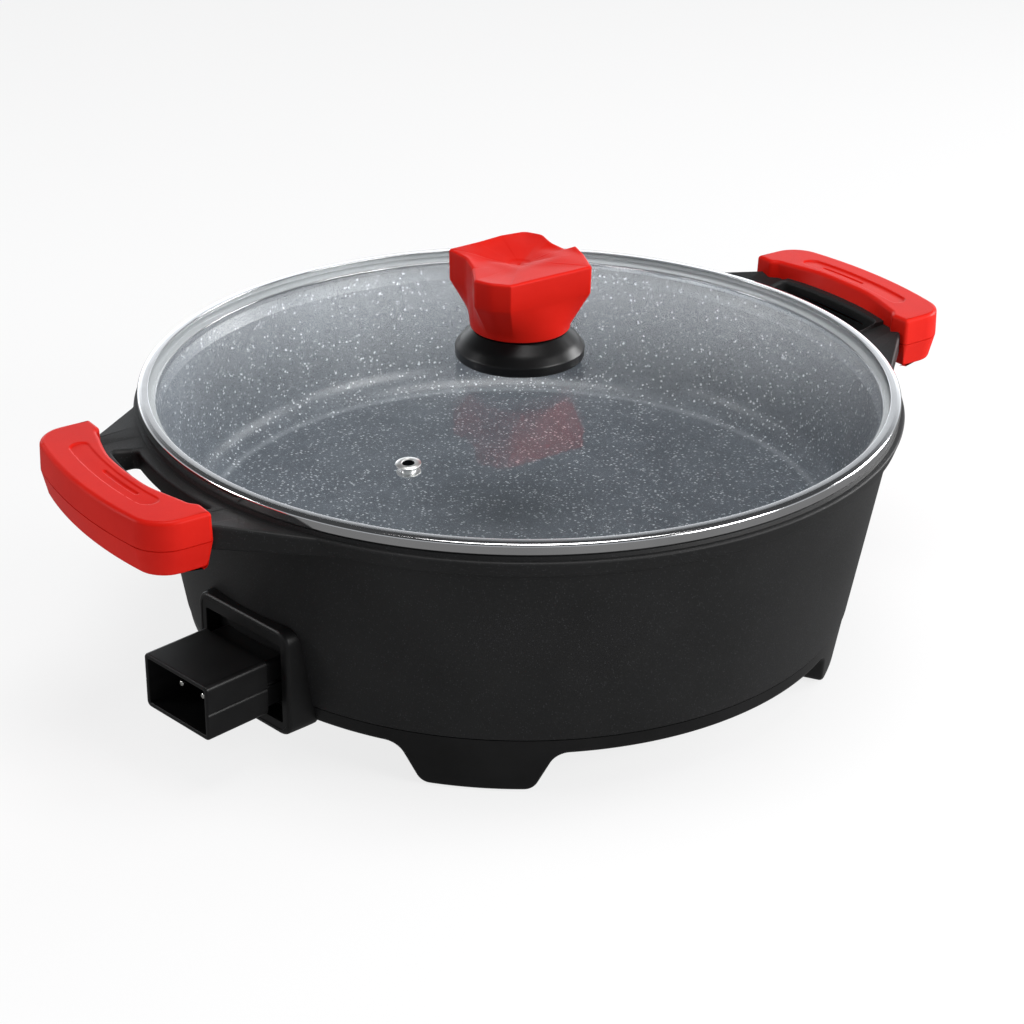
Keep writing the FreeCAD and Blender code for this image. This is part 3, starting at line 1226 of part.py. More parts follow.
def buildKnob():
    bottom = f"({crownTop} + {size('faceGap')})"
    top = f"({bottom} + {size('knobBaseHeight')})"
    bore = f"{size('insertRadius')} + {size('insertFit')}"
    deep = f"{bottom} + {size('insertLength')} + {past}"
    base = revolved("KnobBase", [
        (bore, bottom),
        (size("knobBaseRadius"), bottom),
        (size("knobBaseRadius"), f"{bottom} + {size('knobRimHeight')}"),
        (size("knobNeckRadius"), f"{top} - 0.8 * {past}"),
        (f"{size('knobNeckRadius')} - 1.2 * {past}", top),
        (size("knobPostRadius"), top),
        (size("knobPostRadius"), size("knobPostTop")),
        ("0", size("knobPostTop")),
        ("0", deep),
        (bore, deep),
    ])
    keep(base, "knob_base")
    insert = revolved("KnobInsert", [
        (f"{size('knobScrewRadius')} + {size('screwFit')}", f"{bottom} + 0.2 * {past}"),
        (size("insertRadius"), f"{bottom} + 0.2 * {past}"),
        (size("insertRadius"), f"{bottom} + 0.2 * {past} + {size('insertLength')}"),
        (f"{size('knobScrewRadius')} + {size('screwFit')}",
         f"{bottom} + 0.2 * {past} + {size('insertLength')}"),
    ])
    keep(insert, "knob_insert")
    capBottom = f"({top} + {size('capGap')})"
    neckTop = f"({capBottom} + {size('capNeckHeight')})"
    cap = newBody("KnobCap")
    sections = [outline(cap, "XY_Plane", corners, level) for corners, level in (
        (neckOutline(), capBottom),
        (neckOutline(), neckTop),
        (capOutline(), size("capBandFoot")),
        (capOutline(), size("capTop")),
    )]
    loft = cap.newObject("PartDesign::AdditiveLoft", "Facets")
    loft.Profile = sections[0]
    loft.Sections = sections[1:]
    loft.Ruled = True
    dish = document.addObject("Part::Sphere", "Dish")
    bind(dish, Radius=size("dishRadius"))
    place(dish, y=f"-{size('dishShift')}", z=f"{size('capTop')} - {size('dishDepth')} + {size('dishRadius')}")
    post = rod("PostSpace", f"{size('knobPostRadius')} + {size('postFit')}",
               f"{size('knobPostTop')} + {size('postFit')} - {capBottom} + {past}", z=f"{capBottom} - {past}")
    keep(cut("KnobCapCut", cap, fused("CapCuts", [dish, post])), "knob_cap")


def buildKnobFixing():
    hole = f"{size('knobScrewRadius')} + {size('screwSlack')}"
    level = crownBottom
    for label, radius, thickness in (("knob_seal_washer", "padWasherRadius", "padWasherThickness"),
                                     ("knob_washer", "washerRadius", "washerThickness")):
        high = f"({level} - {size('faceGap')})"
        low = f"({high} - {size(thickness)})"
        ring = revolved("Washer", [(hole, high), (size(radius), high), (size(radius), low), (hole, low)])
        keep(ring, label)
        level = low
    fixing = screw("KnobScrew", size("knobScrewLength"), "knobScrewRadius", "knobScrewHeadRadius",
                   "knobScrewHeadHeight")
    keep(place(fixing, "0", "0", "0", f"{level} - {size('faceGap')}"), "knob_screw")


def checkAndWrite():
    document.recompute()
    for item in document.Objects:
        if "Invalid" in item.State or "Error" in item.State:
            raise RuntimeError(f"{item.Name} failed to build")
    os.makedirs("parts", exist_ok=True)
    for item in parts:
        shape = item.Shape
        if shape.isNull() or not shape.isValid() or not shape.Solids:
            raise RuntimeError(f"{item.Label} has no sound solid")
        shape.exportStep(os.path.join("parts", item.Label + ".step"))
        bounds = shape.BoundBox
        print(f"{item.Label}: {len(shape.Solids)} solid(s), {shape.Volume / 1000:.1f} cm3,"
              f" z {bounds.ZMin:.1f} to {bounds.ZMax:.1f}")


buildPot()
buildGrips()
buildBase()
buildBottomCover()
buildHeater()
buildHeatShield()
buildSocketPlate()
buildClamp()
buildShroud()
buildPins()
buildGlass()
buildVent()
buildRing()
buildKnob()
buildKnobFixing()
checkAndWrite()
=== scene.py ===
import json
import math
from types import SimpleNamespace
import bpy
import bmesh
from mathutils import Matrix, Vector
from mathutils.geometry import delaunay_2d_cdt


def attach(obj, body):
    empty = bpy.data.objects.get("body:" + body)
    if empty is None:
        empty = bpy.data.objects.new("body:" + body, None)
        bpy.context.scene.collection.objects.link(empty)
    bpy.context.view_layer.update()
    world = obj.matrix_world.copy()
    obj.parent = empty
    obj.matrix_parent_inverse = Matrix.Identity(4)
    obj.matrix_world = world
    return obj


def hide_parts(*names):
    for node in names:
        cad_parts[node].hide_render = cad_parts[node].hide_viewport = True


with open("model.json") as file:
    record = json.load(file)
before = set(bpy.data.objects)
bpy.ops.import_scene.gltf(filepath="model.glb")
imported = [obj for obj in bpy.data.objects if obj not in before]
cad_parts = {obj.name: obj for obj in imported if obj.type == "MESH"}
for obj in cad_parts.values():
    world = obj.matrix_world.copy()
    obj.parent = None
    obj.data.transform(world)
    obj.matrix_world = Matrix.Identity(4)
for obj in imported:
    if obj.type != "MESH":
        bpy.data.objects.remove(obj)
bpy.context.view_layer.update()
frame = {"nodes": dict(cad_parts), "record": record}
cadNodes = frame["nodes"]
mm = 0.001
print("frame loaded:", len(cadNodes), "nodes")


# camera, floor and light

cameraSetup = SimpleNamespace(
    place=(-577.4, -811.9, 543.8),  # mm, the table is at height 0
    right=(0.81940, -0.57312, 0.01061),
    up=(0.24362, 0.36495, 0.89859),
    lens=83.47,
)

lightSetup = SimpleNamespace(
    worldLevel=0.24,
    glossTop=0.06,  # what shiny parts see overhead
    glossHorizon=0.55,  # and around the horizon
    glossBack=2.5,  # and low down behind the pot
    backTurn=60.0,  # direction of that brighter part, in degrees
    floorColour=(0.86, 0.86, 0.87),
    floorWhite=0.80,  # share of plain white that the camera sees in the floor
    floorInGloss=0.22,  # brightness of the floor in reflections
)

# name, place, aim point, width, height, watts, colour (metres)
lamps = [
    ("overheadSoftbox", (0.05, -0.15, 1.7), (0, 0, 0.1), 0.9, 0.8, 16, (1.0, 0.99, 0.98)),
    ("keySoftbox", (0.75, -1.6, 0.8), (0, 0, 0.08), 0.9, 0.7, 22, (1.0, 0.99, 0.98)),
    ("leftStrip", (-1.25, 0.75, 0.45), (0, 0, 0.08), 0.3, 0.8, 5, (1.0, 1.0, 1.0)),
    ("rightStrip", (1.4, -0.3, 0.4), (0, 0, 0.08), 0.6, 0.7, 16, (1.0, 1.0, 1.0)),
]


def addObject(name, data):
    made = bpy.data.objects.new(name, data)
    bpy.context.scene.collection.objects.link(made)
    return made


def polar(radius, turn, *level):
    return (radius * math.cos(turn), radius * math.sin(turn), *level)


def addCamera():
    right = Vector(cameraSetup.right).normalized()
    up = Vector(cameraSetup.up)
    up = (up - right * up.dot(right)).normalized()
    back = right.cross(up)
    data = bpy.data.cameras.new("photoCamera")
    data.sensor_width = 36
    data.lens = cameraSetup.lens
    data.clip_start, data.clip_end = 0.05, 60
    camera = addObject("photoCamera", data)
    turn = Matrix((right, up, back)).transposed().to_4x4()
    camera.matrix_world = Matrix.Translation(Vector(cameraSetup.place) * mm) @ turn
    bpy.context.scene.camera = camera


def addLamps():
    for name, place, aim, width, height, watts, colour in lamps:
        data = bpy.data.lights.new(name, "AREA")
        data.shape = "RECTANGLE"
        data.size, data.size_y = width, height
        data.energy, data.color = watts, colour
        lamp = addObject(name, data)
        lamp.location = Vector(place)
        lamp.rotation_euler = (Vector(aim) - Vector(place)).to_track_quat("-Z", "Y").to_euler()


# shader nodes: small helpers, then the shared effects

def feed(tree, node, values):
    # a socket is linked, anything else becomes the input's own value
    for key, value in values.items():
        if isinstance(value, bpy.types.NodeSocket):
            tree.links.new(value, node.inputs[key])
        else:
            node.inputs[key].default_value = value


def put(tree, kind, inputs=None, **settings):
    node = tree.nodes.new(kind)
    for key, value in settings.items():
        setattr(node, key, value)
    feed(tree, node, inputs or {})
    return node


def newGroup(name, inputs, outputs):
    # a group of plain numbers, with the place on the object as its last return value
    group = bpy.data.node_groups.new(name, "ShaderNodeTree")
    for label, value in inputs.items():
        group.interface.new_socket(label, in_out="INPUT", socket_type="NodeSocketFloat").default_value = value
    for label in outputs:
        group.interface.new_socket(label, in_out="OUTPUT", socket_type="NodeSocketFloat")
    take, give = group.nodes.new("NodeGroupInput"), group.nodes.new("NodeGroupOutput")
    return group, take.outputs, give, group.nodes.new("ShaderNodeTexCoord").outputs["Object"]


def useGroup(tree, group, **values):
    return put(tree, "ShaderNodeGroup", values, node_tree=group)


def calc(tree, operation, first, second=0.0, clamp=False):
    node = put(tree, "ShaderNodeMath", {0: first, 1: second}, operation=operation, use_clamp=clamp)
    return node.outputs[0]


def ramp(tree, value, low, high, bottom=0.0, top=1.0):
    return put(tree, "ShaderNodeMapRange", {"Value": value, "From Min": low, "From Max": high,
               "To Min": bottom, "To Max": top}, interpolation_type="SMOOTHSTEP").outputs[0]


def blend(tree, factor, first, second):
    return put(tree, "ShaderNodeMix", {0: factor, 6: first, 7: second}, data_type="RGBA").outputs[2]


def speckGroup():
    # scattered specks: one per cell of a cell pattern, each with its own brightness
    group, take, give, place = newGroup("specks", {"CellsPerMetre": 900.0, "Share": 0.5, "Size": 0.3},
                                        ("Mask", "Brightness"))
    cells = put(group, "ShaderNodeTexVoronoi", {"Vector": place, "Scale": take["CellsPerMetre"],
                "Randomness": 1.0}, feature="F1")
    split = put(group, "ShaderNodeSeparateColor", {"Color": cells.outputs["Color"]}).outputs
    chosen = calc(group, "GREATER_THAN", take["Share"], split["Red"])
    reach = calc(group, "MULTIPLY", take["Size"], ramp(group, split["Green"], 0, 1, 0.5, 1.2))
    inside = calc(group, "SUBTRACT", reach, cells.outputs["Distance"])
    feed(group, give, {
        "Mask": calc(group, "MULTIPLY", chosen, ramp(group, inside, 0.0, 0.12)),
        "Brightness": ramp(group, split["Blue"], 0, 1, 0.25, 1.0),
    })
    return group


def grainGroup():
    # fine moulded or sprayed grain with slow unevenness under it
    group, take, give, place = newGroup("grain", {"GrainPerMetre": 2500.0, "PatchPerMetre": 25.0, "Mix": 0.8},
                                        ("Height", "Patch", "Fine"))
    sizes = ((take["GrainPerMetre"], 3.0, 0.6), (take["PatchPerMetre"], 4.0, 0.55))
    fine, patch = (
        put(group, "ShaderNodeTexNoise", {"Vector": place, "Scale": scale, "Detail": detail,
            "Roughness": roughness}).outputs["Fac"]
        for scale, detail, roughness in sizes
    )
    feed(group, give, {"Height": blend(group, take["Mix"], patch, fine), "Patch": patch, "Fine": fine})
    return group


def turnedGroup():
    # fine lines round the upright axis, as left by turning, rolling and polishing
    group, take, give, place = newGroup("turnedLines", {"LinesPerMetre": 1500.0, "Waver": 0.4},
                                        ("Lines", "Radius"))
    parts = put(group, "ShaderNodeSeparateXYZ", {"Vector": place}).outputs
    squares = [calc(group, "MULTIPLY", parts[axis], parts[axis]) for axis in "XY"]
    radius = calc(group, "SQRT", calc(group, "ADD", *squares))
    flat = put(group, "ShaderNodeCombineXYZ", {"X": radius, "Y": parts["Z"], "Z": 0.0})
    lines = put(group, "ShaderNodeTexNoise", {"Vector": flat.outputs[0], "Scale": take["LinesPerMetre"],
                "Detail": 2.0, "Roughness": take["Waver"]})
    feed(group, give, {"Lines": lines.outputs["Fac"], "Radius": radius})
    return group


specks, grain, turnedLines = speckGroup(), grainGroup(), turnedGroup()


def newFinish(name):
    finish = bpy.data.materials.new(name)
    finish.use_nodes = True
    return finish, finish.node_tree, finish.node_tree.nodes["Principled BSDF"]


def bumped(tree, height, strength, distance):
    values = {"Height": height, "Strength": strength, "Distance": distance}
    return put(tree, "ShaderNodeBump", values).outputs[0]


def dotted(tree, cells, share, size):
    # how much of the speck's colour shows at each place
    dots = useGroup(tree, specks, CellsPerMetre=cells, Share=share, Size=size).outputs
    return calc(tree, "MULTIPLY", dots["Mask"], dots["Brightness"])


def showInstead(tree, share, first, second):
    # the surface is a mix of two shaders
    mixed = put(tree, "ShaderNodeMixShader", {0: share, 1: first.outputs[0], 2: second.outputs[0]})
    tree.links.new(mixed.outputs[0], tree.nodes["Material Output"].inputs["Surface"])
    return mixed


def rgb(red, green, blue):
    return (red, green, blue, 1.0)


plasticFinishes = {
    # dark tone, light tone, roughness low and high, grain per metre, bump height in mm, specular
    "blackPlastic": (rgb(0.006, 0.006, 0.0062), rgb(0.010, 0.010, 0.0103), 0.30, 0.42, 3200, 0.010, 0.24),
    "redPlastic": (rgb(0.60, 0.010, 0.005), rgb(0.66, 0.014, 0.007), 0.32, 0.44, 2600, 0.010, 0.09),
    "glossBlack": (rgb(0.003, 0.003, 0.0032), rgb(0.006, 0.006, 0.0065), 0.27, 0.38, 1500, 0.003, 0.30),
    "blackRubber": (rgb(0.014, 0.014, 0.014), rgb(0.03, 0.03, 0.03), 0.62, 0.8, 2000, 0.03, 0.3),
    "darkPhenolic": (rgb(0.006, 0.006, 0.006), rgb(0.012, 0.010, 0.009), 0.45, 0.6, 2200, 0.02, 0.4),
    "whiteCeramic": (rgb(0.66, 0.64, 0.6), rgb(0.8, 0.78, 0.74), 0.5, 0.7, 1800, 0.02, 0.5),
}

metalFinishes = {
    # dark tone, light tone, roughness low and high, lines per metre, bump height in mm
    "polishedSteel": (rgb(0.74, 0.74, 0.75), rgb(0.86, 0.86, 0.87), 0.08, 0.16, 2600, 0.0015),
    "satinSteel": (rgb(0.80, 0.80, 0.79), rgb(0.90, 0.90, 0.89), 0.30, 0.42, 2600, 0.0015),
    "sheetSteel": (rgb(0.36, 0.37, 0.38), rgb(0.52, 0.53, 0.54), 0.32, 0.5, 700, 0.01),
    "zincScrew": (rgb(0.42, 0.43, 0.45), rgb(0.6, 0.61, 0.63), 0.26, 0.42, 2400, 0.006),
    "heaterSteel": (rgb(0.16, 0.15, 0.15), rgb(0.27, 0.26, 0.25), 0.42, 0.62, 500, 0.01),
    "nickelPin": (rgb(0.62, 0.61, 0.58), rgb(0.8, 0.79, 0.76), 0.14, 0.24, 2000, 0.002),
    "brassInsert": (rgb(0.5, 0.33, 0.11), rgb(0.66, 0.46, 0.18), 0.25, 0.42, 2000, 0.006),
}


def plasticFinish(name):
    dark, light, smoothest, roughest, grainScale, bumpHeight, specular = plasticFinishes[name]
    finish, tree, shader = newFinish(name)
    grained = useGroup(tree, grain, GrainPerMetre=grainScale, PatchPerMetre=30.0)
    tone = ramp(tree, grained.outputs["Patch"], 0.3, 0.7)
    feed(tree, shader, {
        "Base Color": blend(tree, tone, dark, light),
        "Roughness": ramp(tree, grained.outputs["Height"], 0.25, 0.75, smoothest, roughest),
        "Specular IOR Level": specular,
        "Normal": bumped(tree, grained.outputs["Fine"], 0.6, bumpHeight * mm),
    })
    return finish


def metalFinish(name):
    dark, light, smoothest, roughest, lineScale, bumpHeight = metalFinishes[name]
    finish, tree, shader = newFinish(name)
    lines = useGroup(tree, turnedLines, LinesPerMetre=lineScale)
    patches = useGroup(tree, grain, GrainPerMetre=lineScale, PatchPerMetre=18.0)
    tone = ramp(tree, patches.outputs["Patch"], 0.3, 0.7)
    feed(tree, shader, {
        "Base Color": blend(tree, tone, dark, light),
        "Metallic": 1.0,
        "Roughness": ramp(tree, lines.outputs["Lines"], 0.3, 0.7, smoothest, roughest),
        "Normal": bumped(tree, lines.outputs["Lines"], 0.5, bumpHeight * mm),
    })
    return finish


paint = SimpleNamespace(
    dark=rgb(0.0100, 0.0101, 0.0104), light=rgb(0.0140, 0.0141, 0.0145),
    speck=rgb(0.034, 0.035, 0.037),
    roughness=(0.48, 0.60), specular=0.30, grain=2100, bump=0.035,
    specks=(1500.0, 0.4, 0.4),  # cells per metre, share, size
)


def blackPaint():
    # sprayed heat-proof paint with a fine tooth and a few paler grains
    finish, tree, shader = newFinish("blackPaint")
    grained = useGroup(tree, grain, GrainPerMetre=paint.grain, PatchPerMetre=16.0)
    ground = blend(tree, ramp(tree, grained.outputs["Patch"], 0.3, 0.7), paint.dark, paint.light)
    feed(tree, shader, {
        "Base Color": blend(tree, dotted(tree, *paint.specks), ground, paint.speck),
        "Roughness": ramp(tree, grained.outputs["Height"], 0.25, 0.75, *paint.roughness),
        "Specular IOR Level": paint.specular,
        "Normal": bumped(tree, grained.outputs["Fine"], 0.7, paint.bump * mm),
    })
    return finish


coating = SimpleNamespace(
    dark=rgb(0.112, 0.126, 0.147), light=rgb(0.150, 0.168, 0.193),
    speck=rgb(0.86, 0.89, 0.93), dim=rgb(0.34, 0.365, 0.405),
    roughness=(0.30, 0.42), specular=0.9, bump=0.015,
    ringHighlightRadius=145.2, ringHighlightHalf=2.6, ringHighlightShare=0.16,  # painted highlight: a paler ring on the rounded foot where floor meets wall
    # cells per metre, share, size and colour of each layer of specks
    layers=((1500.0, 0.5, 0.42, "dim"), (800.0, 0.26, 0.44, "speck"), (480.0, 0.30, 0.33, "speck")),
)


def stoneCoating():
    # non-stick coating: blue-grey ground with three sizes of pale specks, and a painted highlight ring at the
    # floor's edge
    finish, tree, shader = newFinish("stoneCoating")
    grained = useGroup(tree, grain, GrainPerMetre=1400.0, PatchPerMetre=60.0)
    colour = blend(tree, ramp(tree, grained.outputs["Patch"], 0.3, 0.7), coating.dark, coating.light)
    raised = None
    for cells, share, size, tint in coating.layers:
        mask = dotted(tree, cells, share, size)
        colour = blend(tree, mask, colour, getattr(coating, tint))
        raised = mask if raised is None else calc(tree, "MAXIMUM", raised, mask)
    # painted highlight: the pale speck colour laid in a soft ring round the floor's edge, where the lamp's
    # highlight runs
    radius = useGroup(tree, turnedLines, LinesPerMetre=900.0).outputs["Radius"]
    away = calc(tree, "ABSOLUTE", calc(tree, "SUBTRACT", radius, coating.ringHighlightRadius * mm))
    edge = ramp(tree, away, 0.0, coating.ringHighlightHalf * mm, coating.ringHighlightShare, 0.0)
    feed(tree, shader, {
        "Base Color": blend(tree, edge, colour, coating.speck),
        "Roughness": ramp(tree, grained.outputs["Height"], 0.25, 0.75, *coating.roughness),
        "Specular IOR Level": coating.specular,
        "Normal": bumped(tree, calc(tree, "ADD", grained.outputs["Fine"], raised), 0.5, coating.bump * mm),
    })
    return finish


def clearGlass():
    # clear tempered glass; shadow rays pass straight through it
    finish, tree, shader = newFinish("clearGlass")
    smear = useGroup(tree, grain, GrainPerMetre=60.0, PatchPerMetre=9.0)
    feed(tree, shader, {
        "Base Color": rgb(0.96, 0.98, 0.985),
        "Roughness": ramp(tree, smear.outputs["Patch"], 0.45, 0.8, 0.0, 0.02),
        "IOR": 1.46,
        "Specular IOR Level": 0.3,
        "Alpha": 0.12,  # most of the glass's reflections and haze are left out
        "Transmission Weight": 1.0,
    })
    letThrough = put(tree, "ShaderNodeBsdfTransparent", {"Color": rgb(0.93, 0.95, 0.955)})
    rays = tree.nodes.new("ShaderNodeLightPath")
    passes = calc(tree, "MAXIMUM", rays.outputs["Is Shadow Ray"], rays.outputs["Is Diffuse Ray"])
    showInstead(tree, passes, shader, letThrough)
    return finish


def clearSilicone():
    finish, tree, shader = newFinish("clearSilicone")
    grained = useGroup(tree, grain, GrainPerMetre=900.0, PatchPerMetre=40.0)
    feed(tree, shader, {
        "Base Color": blend(tree, grained.outputs["Patch"], rgb(0.50, 0.51, 0.52), rgb(0.62, 0.63, 0.64)),
        "Roughness": ramp(tree, grained.outputs["Height"], 0.3, 0.7, 0.3, 0.45),
        "Normal": bumped(tree, grained.outputs["Fine"], 0.4, 0.01 * mm),
    })
    return finish


finishes = {name: plasticFinish(name) for name in plasticFinishes}
finishes.update({name: metalFinish(name) for name in metalFinishes})
finishes.update({"blackPaint": blackPaint(), "stoneCoating": stoneCoating(), "clearGlass": clearGlass(),
                 "clearSilicone": clearSilicone()})
print("finishes made:", len(finishes))

slotFinishes = {
    "black_coated_aluminium": "blackPaint", "black_plastic": "blackPlastic", "black_rubber": "blackRubber",
    "grey_sheet_steel": "sheetSteel", "zinc_screw": "zincScrew", "heater_steel": "heaterSteel",
    "white_ceramic": "whiteCeramic", "dark_phenolic": "darkPhenolic", "nickel_pin": "nickelPin",
    "clear_glass": "clearGlass", "polished_steel": "polishedSteel", "clear_silicone": "clearSilicone",
    "gloss_black_plastic": "glossBlack", "brass_insert": "brassInsert", "red_plastic": "redPlastic",
}


def dressCadNodes():
    for entry in frame["record"]["subparts"]:
        finish = finishes[slotFinishes[entry["material_slot"]]]
        mesh = cadNodes[entry["node"]].data
        mesh.materials.clear()
        mesh.materials.append(finish)


# outlines and meshes, all in millimetres until the mesh is made

def softened(corners, closed=True, turns=5):
    # corners are (x, y, radius); each one is rounded by an arc that fits its sides
    out = []
    count = len(corners)
    for index, (x, y, radius) in enumerate(corners):
        atEnd = not closed and index in (0, count - 1)
        if radius <= 0 or atEnd:
            out.append((x, y))
            continue
        spot = Vector((x, y))
        before = Vector(corners[index - 1][:2]) - spot
        after = Vector(corners[(index + 1) % count][:2]) - spot
        angle = before.angle(after)
        if angle > math.pi - 0.002:
            out.append((x, y))
            continue
        reach = min(radius / math.tan(angle / 2), before.length * 0.49, after.length * 0.49)
        fitted = reach * math.tan(angle / 2)
        halfway = (before.normalized() + after.normalized()).normalized()
        middle = spot + halfway * (fitted / math.sin(angle / 2))
        start = spot + before.normalized() * reach - middle
        end = spot + after.normalized() * reach - middle
        first = math.atan2(start.y, start.x)
        sweep = (math.atan2(end.y, end.x) - first + math.pi) % math.tau - math.pi
        for step in range(turns + 1):
            turn = first + sweep * step / turns
            out.append((middle.x + fitted * math.cos(turn), middle.y + fitted * math.sin(turn)))
    return out


def divided(points, spacing, closed=True):
    # extra points along the long sides
    out = []
    for (ax, ay), (bx, by) in zip(points, points[1:] + (points[:1] if closed else [])):
        steps = max(1, round(math.hypot(bx - ax, by - ay) / spacing))
        out += [(ax + (bx - ax) * k / steps, ay + (by - ay) * k / steps) for k in range(steps)]
    if not closed:
        out.append(points[-1])
    return out


def neighbours(items):
    # each item of a closed loop with the one before and the one after it
    return zip(items[-1:] + items[:-1], items, items[1:] + items[:1])


def inset(points, distance):
    # a closed outline moved inwards; the outline runs anticlockwise
    out = []
    for (ax, ay), (x, y), (bx, by) in neighbours(points):
        first = Vector((x - ax, y - ay)).normalized()
        second = Vector((bx - x, by - y)).normalized()
        normal = Vector((-(first.y + second.y), first.x + second.x)).normalized()
        share = max(0.4, normal.dot(Vector((-first.y, first.x))))
        out.append((x + normal.x * distance / share, y + normal.y * distance / share))
    return out


def roundedEdge(radius, steps):
    # a quarter turn in equal steps, as (distance below the face, distance in from the side)
    turns = [math.radians(90 / steps * step) for step in range(1, steps + 1)]
    return [(radius * (1 - math.sin(turn)), radius * (1 - math.cos(turn))) for turn in turns]


def makePiece(name, points, faces, finish, sharp=35, faceSlots=None):
    mesh = bpy.data.meshes.new(name)
    mesh.from_pydata([tuple(c * mm for c in p) for p in points], [], faces)
    for one in finish if isinstance(finish, list) else [finish]:
        mesh.materials.append(finishes[one])
    if faceSlots:
        mesh.polygons.foreach_set("material_index", faceSlots)
    work = bmesh.new()
    work.from_mesh(mesh)
    bmesh.ops.remove_doubles(work, verts=work.verts, dist=1e-6)
    bmesh.ops.dissolve_degenerate(work, edges=work.edges, dist=1e-7)
    bmesh.ops.recalc_face_normals(work, faces=work.faces)
    work.to_mesh(mesh)
    work.free()
    mesh.polygons.foreach_set("use_smooth", [True] * len(mesh.polygons))
    mesh.set_sharp_from_angle(angle=math.radians(sharp))
    return addObject(name, mesh)


def applied(piece):
    # the piece keeps the mesh that its modifiers make
    mesh = bpy.data.meshes.new_from_object(piece.evaluated_get(bpy.context.evaluated_depsgraph_get()))
    piece.modifiers.clear()
    piece.data = mesh
    return mesh


def fit(piece, body, slotName, *replaced):
    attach(piece, body)
    if replaced:
        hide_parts(*replaced)
    return piece


def turnedShape(profile, steps, closed=False, segmentSlots=None):
    # a profile of (radius, height) turned about the upright axis
    points, faces, slots, rings = [], [], [], []
    for radius, height in profile:
        if radius < 1e-4:
            rings.append([len(points)] * steps)
            points.append((0, 0, height))
            continue
        rings.append([len(points) + k for k in range(steps)])
        points += [polar(radius, math.tau * k / steps, height) for k in range(steps)]
    for index, (low, high) in enumerate(zip(rings, rings[1:] + (rings[:1] if closed else []))):
        for k in range(steps):
            n = (k + 1) % steps
            face = [low[k], low[n], high[n], high[k]]
            face = [v for j, v in enumerate(face) if v != face[j - 1]]
            faces.append(face)
            slots.append(segmentSlots[index] if segmentSlots else 0)
    return points, faces, slots


def moved(points, matrix):
    return [tuple(matrix @ Vector(p)) for p in points]


def gridFaces(grid, wraps=True):
    # faces between neighbouring rows of point numbers
    width = len(grid[0])
    return [[low[k], low[(k + 1) % width], high[(k + 1) % width], high[k]]
            for low, high in zip(grid, grid[1:]) for k in range(width if wraps else width - 1)]


def stacked(loops, capStart=True, capEnd=True):
    # closed loops with the same number of points, joined one after the other
    count = len(loops[0])
    grid = [list(range(level * count, (level + 1) * count)) for level in range(len(loops))]
    caps = [grid[0][::-1]] * capStart + [grid[-1]] * capEnd
    return [point for loop in loops for point in loop], gridFaces(grid) + caps


def weightNormals(piece):
    modifier = piece.modifiers.new("flatFacesFirst", "WEIGHTED_NORMAL")
    modifier.keep_sharp = True
    modifier.weight = 60
    return piece


def joinShapes(*shapes):
    points, faces = [], []
    for morePoints, moreFaces in shapes:
        start = len(points)
        points += morePoints
        faces += [[v + start for v in face] for face in moreFaces]
    return points, faces


# the pot: one turned casting with its coating, and the two lugs

pot = SimpleNamespace(
    steps=288,
    wallTop=(169.2, 112.9), bandFoot=(172.0, 113.1), bandTop=(174.28, 120.0),
    seat=(171.6, 121.7, 167.0), bevelFoot=(162.5, 113.5),
    innerFoot=153.4, floor=57.0, floorRadius=15.8, underside=52.5,
    seam=(155.3, 27.8), skirtInner=(149.8, 153.8),
    ridge=(92.05, 96.05, 103.95, 107.95, 36.5, 43.7),
)


def makePot():
    seatOut, seatTop, seatIn = pot.seat
    ridgeIn, grooveIn, grooveOut, ridgeOut, ridgeLow, grooveTop = pot.ridge
    coated = softened([
        (0, pot.floor, 0), (pot.innerFoot, pot.floor, pot.floorRadius),
        (*pot.bevelFoot, 1.6), (seatIn, seatTop, 0.5), (seatIn + 1.6, seatTop, 0),
    ], closed=False, turns=10)
    coated = [coated[0]] + [(r, coated[0][1]) for r in range(8, 136, 8)] + coated[1:]
    painted = softened([
        (seatIn + 1.6, seatTop, 0), (seatOut - 0.5, seatTop, 0.5), (seatOut, 120.0, 0.3),
        (*pot.bandTop, 1.1), (*pot.bandFoot, 0.8), (*pot.wallTop, 0.7), (*pot.seam, 0.8),
        (pot.skirtInner[0], pot.seam[1], 0.4), (pot.skirtInner[1], pot.underside, 2.0),
        (ridgeOut, pot.underside, 1.0), (ridgeOut, ridgeLow, 0.8), (grooveOut, ridgeLow, 0.3),
        (grooveOut, grooveTop, 1.5), (grooveIn, grooveTop, 1.5), (grooveIn, ridgeLow, 0.3),
        (ridgeIn, ridgeLow, 0.8), (ridgeIn, pot.underside, 1.0), (0, pot.underside, 0),
    ], closed=False, turns=4)[1:]
    profile = coated + painted
    slots = [0 if index < len(coated) - 1 else 1 for index in range(len(profile) - 1)]
    points, faces, faceSlots = turnedShape(profile, pot.steps, False, slots)
    shell = makePiece("potCasting", points, faces, ["stoneCoating", "blackPaint"], 30, faceSlots)
    fit(shell, "pot", "black_coated_aluminium", "pan_body")


lug = SimpleNamespace(
    rootRadius=171.4, rootAngle=30.5, sideCorner=(155.7, 79.0), sideRadius=16.0,
    neck=(188.0, 50.9), shoulder=(204.0, 44.0), end=(213.2, 36.0),
    low=112.0, root=119.85, high=123.3, riseStart=174.5, riseEnd=190.0, edge=1.3,
    gap=(179.0, 191.0, 34.0, 5.0),
)


